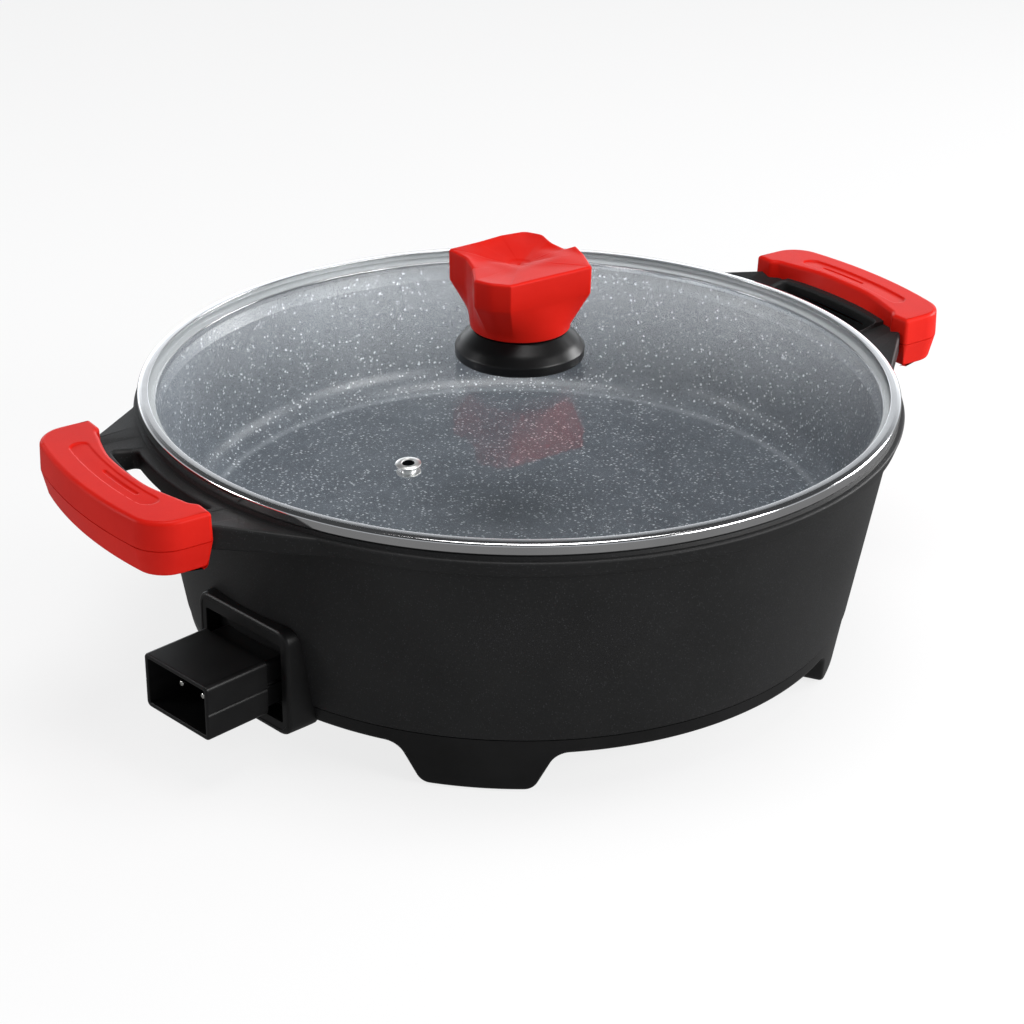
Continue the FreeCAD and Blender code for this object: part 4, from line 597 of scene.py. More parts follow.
def lugShape(side):
    # plan outline and finger gap as a filled flat curve, then its top is bent up
    half = [polar(lug.rootRadius, math.radians(lug.rootAngle), 0), (*lug.sideCorner, lug.sideRadius),
            (*lug.neck, 6), (*lug.shoulder, 3), (*lug.end, 2)]
    arc = [polar(lug.rootRadius, math.radians(a), 0) for a in range(-28, 29, 4)]
    outline = arc + half + [(x, -y, r) for x, y, r in half[::-1]]
    inner, outer, length, corner = lug.gap
    gap = []
    for radius, ys in ((outer, [length * k / 6 for k in range(-6, 7)]),
                       (inner, [length * k / 6 for k in range(6, -7, -1)])):
        gap += [(math.sqrt(radius ** 2 - y ** 2), y, corner if abs(y) > length - 0.01 else 0) for y in ys]
    data = bpy.data.curves.new("lugPlan", "CURVE")
    data.dimensions = "2D"
    data.fill_mode = "BOTH"
    thickness = lug.root - lug.low
    data.extrude = (thickness / 2 - lug.edge) * mm
    data.bevel_depth = lug.edge * mm
    data.offset = -lug.edge * mm
    data.bevel_resolution = 3
    for loop in (softened(outline, turns=10), softened(gap, turns=8)):
        spline = data.splines.new("POLY")
        spline.points.add(len(loop) - 1)
        for point, (x, y) in zip(spline.points, loop):
            point.co = (x * mm, y * mm, 0, 1)
        spline.use_cyclic_u = True
    holder = bpy.data.objects.new("lugPlan", data)
    mesh = bpy.data.meshes.new_from_object(holder)
    bpy.data.objects.remove(holder)
    middle = (lug.root + lug.low) / 2
    points = []
    for vertex in mesh.vertices:
        x, y, z = (c / mm for c in vertex.co)
        level = z + middle
        share = max(0.0, min(1.0, (level - lug.low) / (lug.root - lug.low)))
        rise = (math.hypot(x, y) - lug.riseStart) / (lug.riseEnd - lug.riseStart)
        level += max(0.0, min(1.0, rise)) * (lug.high - lug.root) * share
        points.append((x * side, y * side, level))
    return points, [list(p.vertices) for p in mesh.polygons]


def makeLugs():
    for name, side in (("rightLug", 1), ("leftLug", -1)):
        points, faces = lugShape(side)
        piece = makePiece(name, points, faces, "blackPaint", 40)
        fit(weightNormals(piece), "pot", "black_coated_aluminium")


# the red grips: an upper and a lower half on each side

grip = SimpleNamespace(
    half=55.3, padX=187.0, archRadius=194.5, outerRadius=220.45,
    corner=12.5, padCorner=1.8, top=130.6, split=118.0, bottom=105.7,
    edge=1.9, bottomEdge=2.0, seamDip=0.22, lowerDraft=2.3, upperDraft=0.35,
    scoop=2.6, rows=230, columns=60,
    panel=(201.6, 210.2, 35.0, 0.75),  # inner radius, outer radius, half length, depth
    bar=(204.2, 206.0, -4.0, 22.0, 0.55),  # a short groove in the panel
    screwSpots=((201.02, 28.25), (201.02, -28.25)), screwWell=(4.2, 4.4),
    archEase=(40.5, 46.0), scoopEase=(14, 42),  # distances along the grip
)


def smoothStep(value, low, high):
    share = max(0.0, min(1.0, (value - low) / (high - low)))
    return share * share * (3 - 2 * share)


def gripEdges(y):
    # inner and outer limit of the grip in plan at one distance along it
    side = abs(y)
    arch = math.sqrt(grip.archRadius ** 2 - side ** 2)
    inner = grip.padX + (arch - grip.padX) * (1 - smoothStep(side, *grip.archEase))
    gap = grip.half - side
    if gap < grip.padCorner:
        r = grip.padCorner
        inner += r - math.sqrt(max(0.0, r * r - (r - gap) ** 2))
    outer = math.sqrt(grip.outerRadius ** 2 - side ** 2)
    if gap < grip.corner:
        r = grip.corner
        slope = math.sqrt(grip.outerRadius ** 2 - (grip.half - r) ** 2)
        base = slope - (side - (grip.half - r)) * (grip.half - r) / slope
        outer = min(outer, base - (r - math.sqrt(max(0.0, r * r - (r - gap) ** 2))))
    return inner, outer


def gripRows():
    # closely spaced near the round corners
    half, rows = grip.half, grip.rows
    out = []
    for index in range(rows + 1):
        share = index / rows * 2 - 1
        eased = math.copysign(1 - (1 - abs(share)) ** 1.55, share)
        out.append(half * (0.55 * share + 0.45 * eased))
    return out


def gripSurface(x, y, upper):
    # how far the broad face dips below its own level
    radius = math.hypot(x, y)
    if upper:
        inner, outer, half, depth = grip.panel
        middle, reach = (inner + outer) / 2, (outer - inner) / 2
        along = max(0.0, abs(y) - (half - reach))
        away = reach - math.hypot(along, radius - middle)
        dip = depth * smoothStep(away, -0.25, 0.35) * (0.55 + 0.45 * smoothStep(radius, inner, outer))
        low, high, first, last, more = grip.bar
        width = (high - low) / 2
        past = max(0.0, first - y, y - last)
        return dip + more * smoothStep(width - math.hypot(past, radius - (low + high) / 2), -0.2, 0.5)
    reach, depth = grip.screwWell
    for spotX, spotY in grip.screwSpots:
        away = math.hypot(x - spotX, y - spotY)
        if away < reach + 0.6:
            return depth * smoothStep(reach - away, -0.45, 0.25)
    return 0.0


def gripHalf(upper):
    rows, columns = gripRows(), grip.columns
    sideRows = [gripEdges(y) for y in rows]
    count = len(rows)

    def endPoints(row, start, stop):
        return [(start + (stop - start) * k / columns, rows[row]) for k in range(1, columns)]

    # the boundary runs along the inner side, one end, the outer side and the other end
    innerLine, outerLine = ([(edges[k], y) for edges, y in zip(sideRows, rows)] for k in (0, 1))
    boundary = innerLine + endPoints(-1, *sideRows[-1]) + outerLine[::-1] + endPoints(0, *sideRows[0][::-1])
    boundary = boundary[::-1]  # anticlockwise
    level, edge = (grip.top, grip.edge) if upper else (grip.bottom, grip.bottomEdge)
    draft = grip.upperDraft if upper else grip.lowerDraft
    sign = 1 if upper else -1
    height = abs(level - grip.split)
    dip = grip.seamDip

    def loopAt(away, distance):
        # away is the distance from the split, distance the inset
        out = []
        for (x, y), (bx, by) in zip(inset(boundary, distance), boundary):
            if upper and bx < 200 and abs(by) < 46:
                x += grip.scoop * (1 - smoothStep(abs(by), *grip.scoopEase)) * smoothStep(away, 1.0, height)
            out.append((x, y, grip.split + sign * away))
        return out

    loops = [loopAt(0.05, 6.0), loopAt(0.05, dip + 0.25), loopAt(dip, 0.02)]
    for share in (0.2, 0.4, 0.6, 0.8, 1.0):
        loops.append(loopAt(dip + (height - edge - dip) * share, draft * share))
    loops += [loopAt(height - below, draft + across) for below, across in roundedEdge(edge, 6)]
    points, faces = stacked(loops, True, False)
    # the broad face: columns between matching points of the last loop
    last = [i + len(points) - len(boundary) for i in range(len(boundary))][::-1]
    innerSide = last[:count]
    outerSide = last[count + columns - 1:2 * count + columns - 1][::-1]
    endHigh = last[count:count + columns - 1]
    endLow = last[2 * count + columns - 1:][::-1]
    grid = []
    for row in range(count):
        a, b = Vector(points[innerSide[row]]), Vector(points[outerSide[row]])
        line = [innerSide[row]]
        for column in range(1, columns):
            if row in (0, count - 1):
                line.append((endLow if row == 0 else endHigh)[column - 1])
                continue
            spot = a.lerp(b, column / columns)
            line.append(len(points))
            points.append((spot.x, spot.y, spot.z - sign * gripSurface(spot.x, spot.y, upper)))
        grid.append(line + [outerSide[row]])
    return points, faces + gridFaces(grid, False)


def makeGrips():
    for half, upper in (("upper", True), ("lower", False)):
        points, faces = gripHalf(upper)
        for sideName, side in (("right", 1), ("left", -1)):
            placed = [(x * side, y * side, z) for x, y, z in points]
            piece = makePiece(f"{sideName}Grip{half.capitalize()}", placed, faces, "redPlastic", 50)
            fit(piece, "pot", "red_plastic", f"{sideName}_grip_{half}")


# the base with its four feet

base = SimpleNamespace(
    top=27.4, topRadius=154.8, draft=9.0, skirt=20.0, tip=0.6, footAngle=48.5,
    rootHalf=34.3, tipHalf=24.8, rootFillet=9.0, tipFillet=6.5,
    wall=4.0, footDepth=10.0, web=(24.4, 126.0), edge=1.6, rows=6,
    collar=(146.8, 149.3, 31.8),  # the wall that stands up into the pot: radii and top
)


def coneRadius(z):
    return base.topRadius - (base.top - z) * math.tan(math.radians(base.draft))


def footLine():
    # the lower edge over a quarter turn, as (arc length, height), the foot in its middle
    reach = math.radians(45) * base.topRadius
    offset = math.radians(base.footAngle - 45) * base.topRadius
    corners = [
        (-reach, base.skirt, 0), (offset - base.rootHalf, base.skirt, base.rootFillet),
        (offset - base.tipHalf, base.tip, base.tipFillet),
        (offset + base.tipHalf, base.tip, base.tipFillet),
        (offset + base.rootHalf, base.skirt, base.rootFillet), (reach, base.skirt, 0),
    ]
    return divided(softened(corners, closed=False, turns=8), 2.4, closed=False)


def makeBase():
    quarter = footLine()
    line = []
    for turn, mirror in ((45, 1), (135, -1), (225, 1), (315, -1)):
        part = quarter if mirror == 1 else [(-s, z) for s, z in quarter[::-1]]
        line += [(math.radians(turn) + s / base.topRadius, z) for s, z in part[:-1]]
    count = len(line)
    spread = base.topRadius

    def normalAt(index):
        (a, za), (b, zb) = line[index - 1], line[(index + 1) % count]
        run = ((b - a + math.pi) % math.tau - math.pi) * spread
        return Vector((zb - za, -run)).normalized()

    def ring(insetBy, depth):
        out = []
        for index, (turn, z) in enumerate(line):
            normal = normalAt(index)
            angle = turn - normal.x * insetBy / spread
            level = z - normal.y * insetBy
            out.append(polar(coneRadius(level) - depth(z), angle, level))
        return out

    def thickness(z):
        share = smoothStep(base.skirt - z, 0.5, 9.0)
        return base.wall + (base.footDepth - base.wall) * share

    def levelRing(radius, level):
        return [polar(radius, t, level) for t, z in line]

    loops = []
    topLoop = levelRing(coneRadius(base.top), base.top)
    edgeLoop = ring(base.edge, lambda z: 0.0)
    for step in range(base.rows):
        share = step / base.rows
        mixed = []
        for a, b in zip(topLoop, edgeLoop):
            level = a[2] + (b[2] - a[2]) * share
            turn = math.atan2(a[1] * (1 - share) + b[1] * share, a[0] * (1 - share) + b[0] * share)
            mixed.append(polar(coneRadius(level), turn, level))
        loops.append(mixed)
    loops.append(edgeLoop)
    for below, across in roundedEdge(base.edge, 5):
        loops.append(ring(below, lambda z: across))
    loops.append(ring(0.0, lambda z: thickness(z) - 0.8))
    loops.append(ring(0.8, thickness))
    webLow, webInner = base.web
    webRadius = coneRadius(webLow) - base.wall
    collarIn, collarOut, collarTop = base.collar
    for radius, level in ((webRadius, webLow), (webInner, webLow), (webInner, base.top), (collarIn, base.top),
                          (collarIn, collarTop), (collarOut, collarTop), (collarOut, base.top)):
        loops.append(levelRing(radius, level))
    points, faces = stacked(loops, False, False)
    faces += gridFaces([list(range(len(points) - count, len(points))), list(range(count))])
    piece = makePiece("baseWithFeet", points, faces, "blackPlastic", 38)
    fit(piece, "pot", "black_plastic", "base_frame")


# the inlet: plate, sleeve, carrier and pins

socket = SimpleNamespace(
    angle=190.0, level=39.75,
    plateFront=165.0, plateHalf=30.0, plateLow=16.0, plateHigh=67.0, plateCorner=7.0,
    plateEdge=1.7,
    trayHalf=24.5, trayLow=22.6, trayHigh=59.0, trayFloor=155.0,
    neckHalf=(19.3, 11.1), sleeveHalf=(21.1, 12.85), sleeveBack=169.0, sleeveFront=201.0,
    sleeveRound=2.4, wall=2.3, seam=0.22,
    carrier=173.0, pinRadius=1.5, pinTip=193.0, pinHalf=7.25,
)
socketFrame = Matrix.Rotation(math.radians(socket.angle), 4, "Z")


def frameLoop(left, right, low, high, radius, perSide=10, perCorner=6):
    # a rounded rectangle in the plane across the socket's axis
    arcs = []
    for cx, cy, first in ((right - radius, low + radius, -90), (right - radius, high - radius, 0),
                          (left + radius, high - radius, 90), (left + radius, low + radius, 180)):
        turns = [math.radians(first + 90 * k / perCorner) for k in range(perCorner + 1)]
        arcs.append([(cx + radius * math.cos(turn), cy + radius * math.sin(turn)) for turn in turns])
    out = []
    for arc, following in zip(arcs, arcs[1:] + arcs[:1]):
        (ax, ay), (bx, by) = arc[-1], following[0]
        out += arc + [(ax + (bx - ax) * k / perSide, ay + (by - ay) * k / perSide) for k in range(1, perSide)]
    return out


def wallDistance(y, z):
    # distance of the pot's outer wall along the socket's axis
    (foot, footLevel), (top, topLevel) = pot.seam, pot.wallTop
    radius = foot + (z - footLevel) * (top - foot) / (topLevel - footLevel)
    if z < footLevel:
        radius = coneRadius(min(z, base.top))
    return math.sqrt(radius ** 2 - y ** 2)


def setAcross(distance, loop):
    # a loop of (y, z) at one distance along the socket's axis
    return [(distance, y, z) for y, z in loop]


def makePlate():
    half, low, high = socket.plateHalf, socket.plateLow, socket.plateHigh
    front, floor, edge = socket.plateFront, socket.trayFloor, socket.plateEdge

    def outer(by):
        return frameLoop(-half + by, half - by, low + by, high - by, socket.plateCorner - by * 0.8)

    def tray(grow, radius):
        wide = socket.trayHalf + grow
        return frameLoop(-wide, wide, socket.trayLow - grow, socket.trayHigh + grow, radius)

    loops = [[(wallDistance(y, z) + past, y, z) for y, z in outer(0.0)] for past in (-1.2, 0.8)]
    loops.append(setAcross(front - edge, outer(0.35)))
    loops += [setAcross(front - below, outer(0.35 + across)) for below, across in roundedEdge(edge, 4)]
    # a shallow step inside the rounded edge
    loops += [setAcross(front, outer(edge + 1.0)), setAcross(front - 0.25, outer(edge + 1.25))]
    for distance, grow, radius in ((front - 0.25, 0.5, 1.0), (front - 0.4, 0.12, 0.8), (front - 0.8, 0.0, 0.7),
                                   (floor + 0.6, 0.0, 0.7), (floor, -0.6, 0.3)):
        loops.append(setAcross(distance, tray(grow, radius)))
    points, faces = stacked(loops)
    piece = makePiece("socketPlate", moved(points, socketFrame), faces, "blackPlastic", 42)
    fit(weightNormals(piece), "pot", "black_plastic", "socket_plate")


def notched(loop, depth, centre):
    # a fine groove where the upper and lower halves meet
    out = []
    for y, z in loop:
        near = max(0.0, 1 - abs(z - centre) / 0.3)
        out.append((y - math.copysign(depth * near, y) if abs(y) > 15 else y, z))
    return out


def sleeveLoop(halfWide, halfHigh, radius, notch):
    level = socket.level
    loop = frameLoop(-halfWide, halfWide, level - halfHigh, level + halfHigh, radius, 12, 8)
    # split the long sides finely at the middle for the joint line
    fine = []
    for (y, z), (ny, nz) in zip(loop, loop[1:] + loop[:1]):
        fine.append((y, z))
        if abs(y - ny) < 1e-6 and (z - level) * (nz - level) <= 0 and abs(z - nz) > 1e-6:
            sign = 1 if nz > z else -1
            fine += [(y, level + sign * away) for away in (-0.3, -0.08, 0.08, 0.3)]
    single = [p for p, q in zip(fine[1:], fine) if max(abs(p[0] - q[0]), abs(p[1] - q[1])) > 1e-6]
    return notched(fine[:1] + single, notch, level)


def makeSleeve():
    wide, high = socket.sleeveHalf
    neckWide, neckHigh = socket.neckHalf
    wall, seam, soft = socket.wall, socket.seam, socket.sleeveRound
    front, back = socket.sleeveFront, socket.sleeveBack
    outline = [
        (socket.trayFloor - 0.3, neckWide, neckHigh, 2.0, seam),
        (back - 0.9, neckWide, neckHigh, 2.0, seam),
        (back - 0.55, neckWide - 0.35, neckHigh - 0.35, 1.9, seam),
        (back - 0.25, neckWide - 0.35, neckHigh - 0.35, 1.9, seam),
        (back - 0.1, wide - 0.9, high - 0.9, soft, seam),
        (back + 0.1, wide - 0.35, high - 0.35, soft, seam),
        (back + 0.5, wide, high, soft, seam),
        (back + 10, wide, high, soft, seam),
        (front - 0.8, wide, high, soft, seam),
        (front - 0.25, wide - 0.22, high - 0.22, soft - 0.1, seam),
        (front, wide - 0.75, high - 0.75, soft - 0.4, seam * 0.6),
        (front, wide - wall + 0.55, high - wall + 0.55, 1.3, seam * 0.6),
        (front - 0.2, wide - wall + 0.15, high - wall + 0.15, 1.0, seam * 0.4),
        (front - 0.6, wide - wall, high - wall, 0.9, 0.0),
        (socket.carrier, wide - wall - 0.1, high - wall - 0.1, 0.9, 0.0),
        (socket.carrier - 2.0, wide - wall - 0.4, high - wall - 0.4, 0.9, 0.0),
    ]
    points, faces = stacked([setAcross(distance, sleeveLoop(*sizes)) for distance, *sizes in outline])
    piece = makePiece("socketSleeve", moved(points, socketFrame), faces, "blackPlastic", 40)
    fit(weightNormals(piece), "pot", "black_plastic", "shroud_upper", "shroud_lower")


def makePins():
    radius, tip, root = socket.pinRadius, socket.pinTip, socket.carrier - 1.0
    corners = [(0, root, 0), (radius, root, 0), (radius, tip, 1.1), (0, tip, 0)]
    profile = softened(corners, closed=False, turns=6)
    points, faces = turnedShape(profile, 40)[:2]
    lay = Matrix.Rotation(math.radians(90), 4, "Y")
    places = [socketFrame @ Matrix.Translation((0, y, socket.level)) @ lay
              for y in (socket.pinHalf, -socket.pinHalf)]
    points, faces = joinShapes(*((moved(points, place), faces) for place in places))
    fit(makePiece("contactPins", points, faces, "nickelPin", 40), "pot", "nickel_pin", "contact_pins")


# the lid: rolled steel ring, silicone band, glass, vent and knob

lid = SimpleNamespace(
    steps=288, outer=172.0, low=122.0, top=126.95, lip=4.9,
    glassRadius=170.7, glassLow=123.25, thickness=3.0, rise=11.0, knobHole=4.0,
    ventRadius=118.0, ventAngle=-148.0, ventHole=3.3,
    flangeIn=164.0, tongue=(163.6, 164.2, 164.6, 119.6),  # radii at the tip and the root, tip's height
    band=(164.1, 170.8, 171.3, 122.56, 123.18, 125.5),  # the silicone band's radii and heights
)
domeRadius = (lid.glassRadius ** 2 + lid.rise ** 2) / (2 * lid.rise)
crown = lid.glassLow + lid.thickness + lid.rise


def domeHeight(radius):
    return crown - domeRadius + math.sqrt(domeRadius ** 2 - radius ** 2)


def makeRing():
    outer, low, top = lid.outer, lid.low, lid.top
    lip = outer - lid.lip
    lipTop = domeHeight(lip) + 0.75
    tipIn, tipOut, rootOut, tip = lid.tongue
    section = softened([
        (outer, low, 1.1), (outer, top, 1.9), (outer - 2.2, top + 0.42, 1.5), (lip, lipTop, 0.28),
        (lip, lipTop - 0.5, 0.2),
        (outer - 0.9, top - 0.62, 0.4), (outer - 0.62, low + 0.5, 0.4), (lid.flangeIn, low + 0.5, 0.3),
        (tipIn, tip, 0.2), (tipOut, tip, 0.2), (rootOut, low, 0.3),
    ], turns=6)
    points, faces = turnedShape(section[::-1], lid.steps, closed=True)[:2]
    fit(makePiece("lidRing", points, faces, "polishedSteel", 35), "lid", "polished_steel", "lid_ring")
    inner, wallIn, wallOut, under, over, rim = lid.band
    band = softened([
        (wallOut, under, 0.2), (wallOut, rim, 0.2), (wallIn, rim, 0.2), (wallIn, over, 0.1),
        (inner, over, 0.3), (inner, under, 0.3),
    ], turns=3)
    points, faces = turnedShape(band[::-1], lid.steps, closed=True)[:2]
    piece = makePiece("siliconeBand", points, faces, "clearSilicone", 35)
    fit(piece, "lid", "clear_silicone", "lid_seal_band")


def ventMatrix():
    turn = math.radians(lid.ventAngle)
    reach = lid.ventRadius
    spot = Vector(polar(reach, turn, domeHeight(reach)))
    axis = Vector((-math.sin(turn), math.cos(turn), 0))
    return Matrix.Translation(spot) @ Matrix.Rotation(math.asin(reach / domeRadius), 4, axis)


def makeGlass():
    # rings follow the dome; the hole for the vent is cut afterwards
    outer, thick, hole = lid.glassRadius, lid.thickness, lid.ventHole
    radii = [lid.knobHole] + list(range(8, 168, 8)) + [outer - 0.9]
    top = [(r, domeHeight(r)) for r in radii]
    edge = softened([(*top[-1], 0), (outer, domeHeight(outer - 0.2), 0.7), (outer, lid.glassLow, 0.7),
                     (radii[-1], domeHeight(radii[-1]) - thick, 0)], closed=False, turns=4)
    under = [(r, z - thick) for r, z in top[::-1]]
    points, faces = turnedShape(top[:-1] + edge + under[1:], lid.steps, closed=True)[:2]
    glass = makePiece("lidGlass", points, faces, "clearGlass", 40)
    points, faces = turnedShape([(0, -8), (hole, -8), (hole, 4), (0, 4)], 48)[:2]
    cutter = makePiece("ventDrill", moved(points, ventMatrix()), faces, "clearGlass")
    cut = glass.modifiers.new("ventHole", "BOOLEAN")
    cut.object, cut.operation, cut.solver = cutter, "DIFFERENCE", "EXACT"
    applied(glass)
    bpy.data.objects.remove(cutter)
    fit(glass, "lid", "clear_glass", "lid_glass")


vent = SimpleNamespace(bore=2.55, tube=3.1, flange=5.45, lowFlange=5.1, deep=-3.9)


def makeVent():
    # a rolled steel eyelet through the glass; its bore is gloss black, painted shade down the hole
    bore, tube, flange, deep = vent.bore, vent.tube, vent.flange, vent.deep
    section = softened([
        (bore, 0.45, 0.2), (bore + 0.5, 0.95, 0.3), (flange - 1.3, 0.85, 0.5), (flange, 0.4, 0.2),
        (flange - 0.15, 0.12, 0.1), (tube, 0.12, 0.1), (tube, -3.2, 0.1), (vent.lowFlange, -3.2, 0.2),
        (vent.lowFlange, deep, 0.2), (bore, deep, 0.2),
    ], turns=4)[::-1]
    # painted shade: the faces inside the bore take the gloss black finish
    slots = [1 if max(here[0], after[0]) < bore + 0.05 else 0 for _, here, after in neighbours(section)]
    points, faces, faceSlots = turnedShape(section, 64, True, slots)
    points = moved(points, ventMatrix())
    piece = makePiece("ventEyelet", points, faces, ["satinSteel", "glossBlack"], 35, faceSlots)
    fit(piece, "lid", "polished_steel", "vent_eyelet")


knob = SimpleNamespace(
    baseLow=137.42, baseRadius=29.3, rimHeight=4.4, coneTop=(21.8, 150.3), postRadius=14.0,
    shoulder=151.0, postTop=171.5, boreRadius=4.5, boreDepth=13.2,
    capLow=151.1, neckRadius=22.5, neckTop=153.6, bandFoot=168.7, edge=1.15,
    spacing=0.9, rings=36, softening=34, bandStep=0.993, bodyShare=0.985,
    lift=122.0,  # the level from which the cap's heights are counted
    centre=(-0.5, 0.5), disc=(4.6, 6.2, 0.22), dot=(0.5, 1.2, 0.35),  # two round dips in the top
)

# plan of the cap: x, y, height above knob.lift, rounding in plan
capPlan = [
    (-21.9, -23.5, 59.6, 1.3), (21.9, -23.5, 59.8, 1.3), (28.2, -9.3, 60.0, 9), (30.4, 0.2, 61.0, 1.4),
    (25.6, 1.8, 59.9, 1.2), (23.4, 9.0, 61.2, 6), (24.9, 18.0, 62.1, 6), (20.8, 26.6, 62.0, 4),
    (7.9, 27.6, 62.2, 10), (-5.2, 26.6, 61.9, 10), (-21.2, 27.0, 61.4, 1.5), (-20.2, 14.0, 60.9, 9),
    (-23.7, 3.8, 59.7, 5), (-31.3, -9.0, 59.7, 1.6), (-28.6, -17.0, 59.9, 9),
]
capInside = [(-4.0, -6.5, 59.3), (15.8, -5.7, 60.2), (0.0, 1.5, 57.5), (-13.0, -9.0, 58.7),
             (-13.0, 10.0, 58.9), (0.0, 15.0, 59.6), (13.0, 10.0, 59.6)]
capCreases = [(0, 15), (15, 16), (16, 4), (16, 1)]  # pairs of points that a crease joins


def capHeights():
    # straight facets between the plan's corners and the points inside it
    corners = [(x, y) for x, y, z, r in capPlan] + [(x, y) for x, y, z in capInside]
    heights = [z for x, y, z, r in capPlan] + [z for x, y, z in capInside]
    count = len(capPlan)
    edges = [(k, (k + 1) % count) for k in range(count)] + capCreases
    made = delaunay_2d_cdt([Vector(c) for c in corners], edges, [], 0, 1e-4)
    verts, triangles, origins = made[0], made[2], made[3]
    level = [heights[origins[k][0]] if origins[k] else 60.0 for k in range(len(verts))]

    def heightAt(x, y):
        best, found = 1e9, 60.0
        for tri in triangles:
            a, b, c = (verts[k] for k in tri[:3])
            det = (b.y - c.y) * (a.x - c.x) + (c.x - b.x) * (a.y - c.y)
            if abs(det) < 1e-9:
                continue
            u = ((b.y - c.y) * (x - c.x) + (c.x - b.x) * (y - c.y)) / det
            v = ((c.y - a.y) * (x - c.x) + (a.x - c.x) * (y - c.y)) / det
            w = 1 - u - v
            out = -min(u, v, w)
            if out < best:
                best = out
                found = u * level[tri[0]] + v * level[tri[1]] + w * level[tri[2]]
            if best <= 0:
                break
        return found

    return heightAt


def makeCap():
    outline = divided(softened([(x, y, r) for x, y, z, r in capPlan], turns=6), knob.spacing)
    heightAt = capHeights()
    lift, edge, rings = knob.lift, knob.edge, knob.rings
    neck, low, neckTop, bandFoot = knob.neckRadius, knob.capLow, knob.neckTop, knob.bandFoot
    count = len(outline)
    edgeLevel = [heightAt(x * 0.995, y * 0.995) + lift for x, y in outline]
    for _ in range(3):
        edgeLevel = [(before + 2 * here + after) / 4 for before, here, after in neighbours(edgeLevel)]
    directions = [Vector(p).normalized() for p in outline]
    loops = [[(d.x * radius, d.y * radius, level) for d in directions]
             for radius, level in ((neck - 1.2, low), (neck - 0.35, low + 0.1), (neck, low + 0.5),
                                   (neck + 0.25, neckTop - 0.4))]
    for step in range(1, 9):
        share = step / 8
        loops.append([(d.x * (neck + 0.3) * (1 - share) + x * knob.bodyShare * share,
                       d.y * (neck + 0.3) * (1 - share) + y * knob.bodyShare * share,
                       neckTop + (bandFoot - neckTop) * share)
                      for d, (x, y) in zip(directions, outline)])
    for share in (0.04, 0.5, 1.0):
        grow = knob.bandStep + (1 - knob.bandStep) * share
        loops.append([(x * grow, y * grow, bandFoot + 0.25 + (z - edge - bandFoot - 0.25) * share)
                      for (x, y), z in zip(outline, edgeLevel)])
    for below, across in roundedEdge(edge, 5):
        loops.append([(x, y, z - below) for (x, y), z in zip(inset(outline, across), edgeLevel)])
    points, faces = stacked(loops, True, False)
    # the dished top: rings shrink towards the middle
    rim = inset(outline, edge)
    grid = [list(range(len(points) - count, len(points)))]
    heights, places = [edgeLevel[:]], [rim]
    for ring in range(1, rings):
        share = 1 - ring / rings
        places.append([(x * share, y * share) for x, y in rim])
        heights.append([heightAt(x, y) + lift for x, y in places[-1]])
    for _ in range(knob.softening):
        smoother = [row[:] for row in heights]
        for ring in range(1, rings):
            row, outer = heights[ring], heights[ring - 1]
            inner = heights[ring + 1] if ring + 1 < rings else row
            for k in range(count):
                around = row[k - 1] + row[(k + 1) % count] + outer[k] + inner[k]
                smoother[ring][k] = row[k] * 0.4 + around * 0.15
        heights = smoother
    centreX, centreY = knob.centre
    for ring in range(1, rings):
        line = []
        for (x, y), z in zip(places[ring], heights[ring]):
            away = math.hypot(x - centreX, y - centreY)
            dip = sum(depth * (1 - smoothStep(away, near, far)) for near, far, depth in (knob.disc, knob.dot))
            line.append(len(points))
            points.append((x, y, z - dip))
        grid.append(line)
    faces += gridFaces(grid)
    middle = len(points)
    points.append((0, 0, sum(heights[-1]) / count - 0.5))
    faces += [[grid[-1][k], grid[-1][(k + 1) % count], middle] for k in range(count)]
    fit(makePiece("knobCap", points, faces, "redPlastic", 28), "lid", "red_plastic", "knob_cap")


def makeKnobBase():
    low, radius, hole = knob.baseLow, knob.baseRadius, knob.boreRadius
    post, shoulder, postTop = knob.postRadius, knob.shoulder, knob.postTop
    boreTop = low + knob.boreDepth
    profile = softened([
        (hole, low, 0), (radius - 0.3, low, 0.4), (radius, low + 0.9, 0.5),
        (radius, low + knob.rimHeight, 1.6), (26.6, low + 8.2, 14), (*knob.coneTop, 0.8),
        (knob.coneTop[0] - 1.6, shoulder, 0.4), (post, shoulder, 0), (post, postTop, 0), (0, postTop, 0),
    ], closed=False, turns=8)
    outside = turnedShape(profile, 160)[:2]
    bore = turnedShape([(hole, low), (hole, boreTop), (0, boreTop)], 160)[:2]
    piece = makePiece("knobBase", *joinShapes(outside, bore), "glossBlack", 35)
    fit(piece, "lid", "gloss_black_plastic", "knob_base")


# repeated pieces, set out by geometry nodes

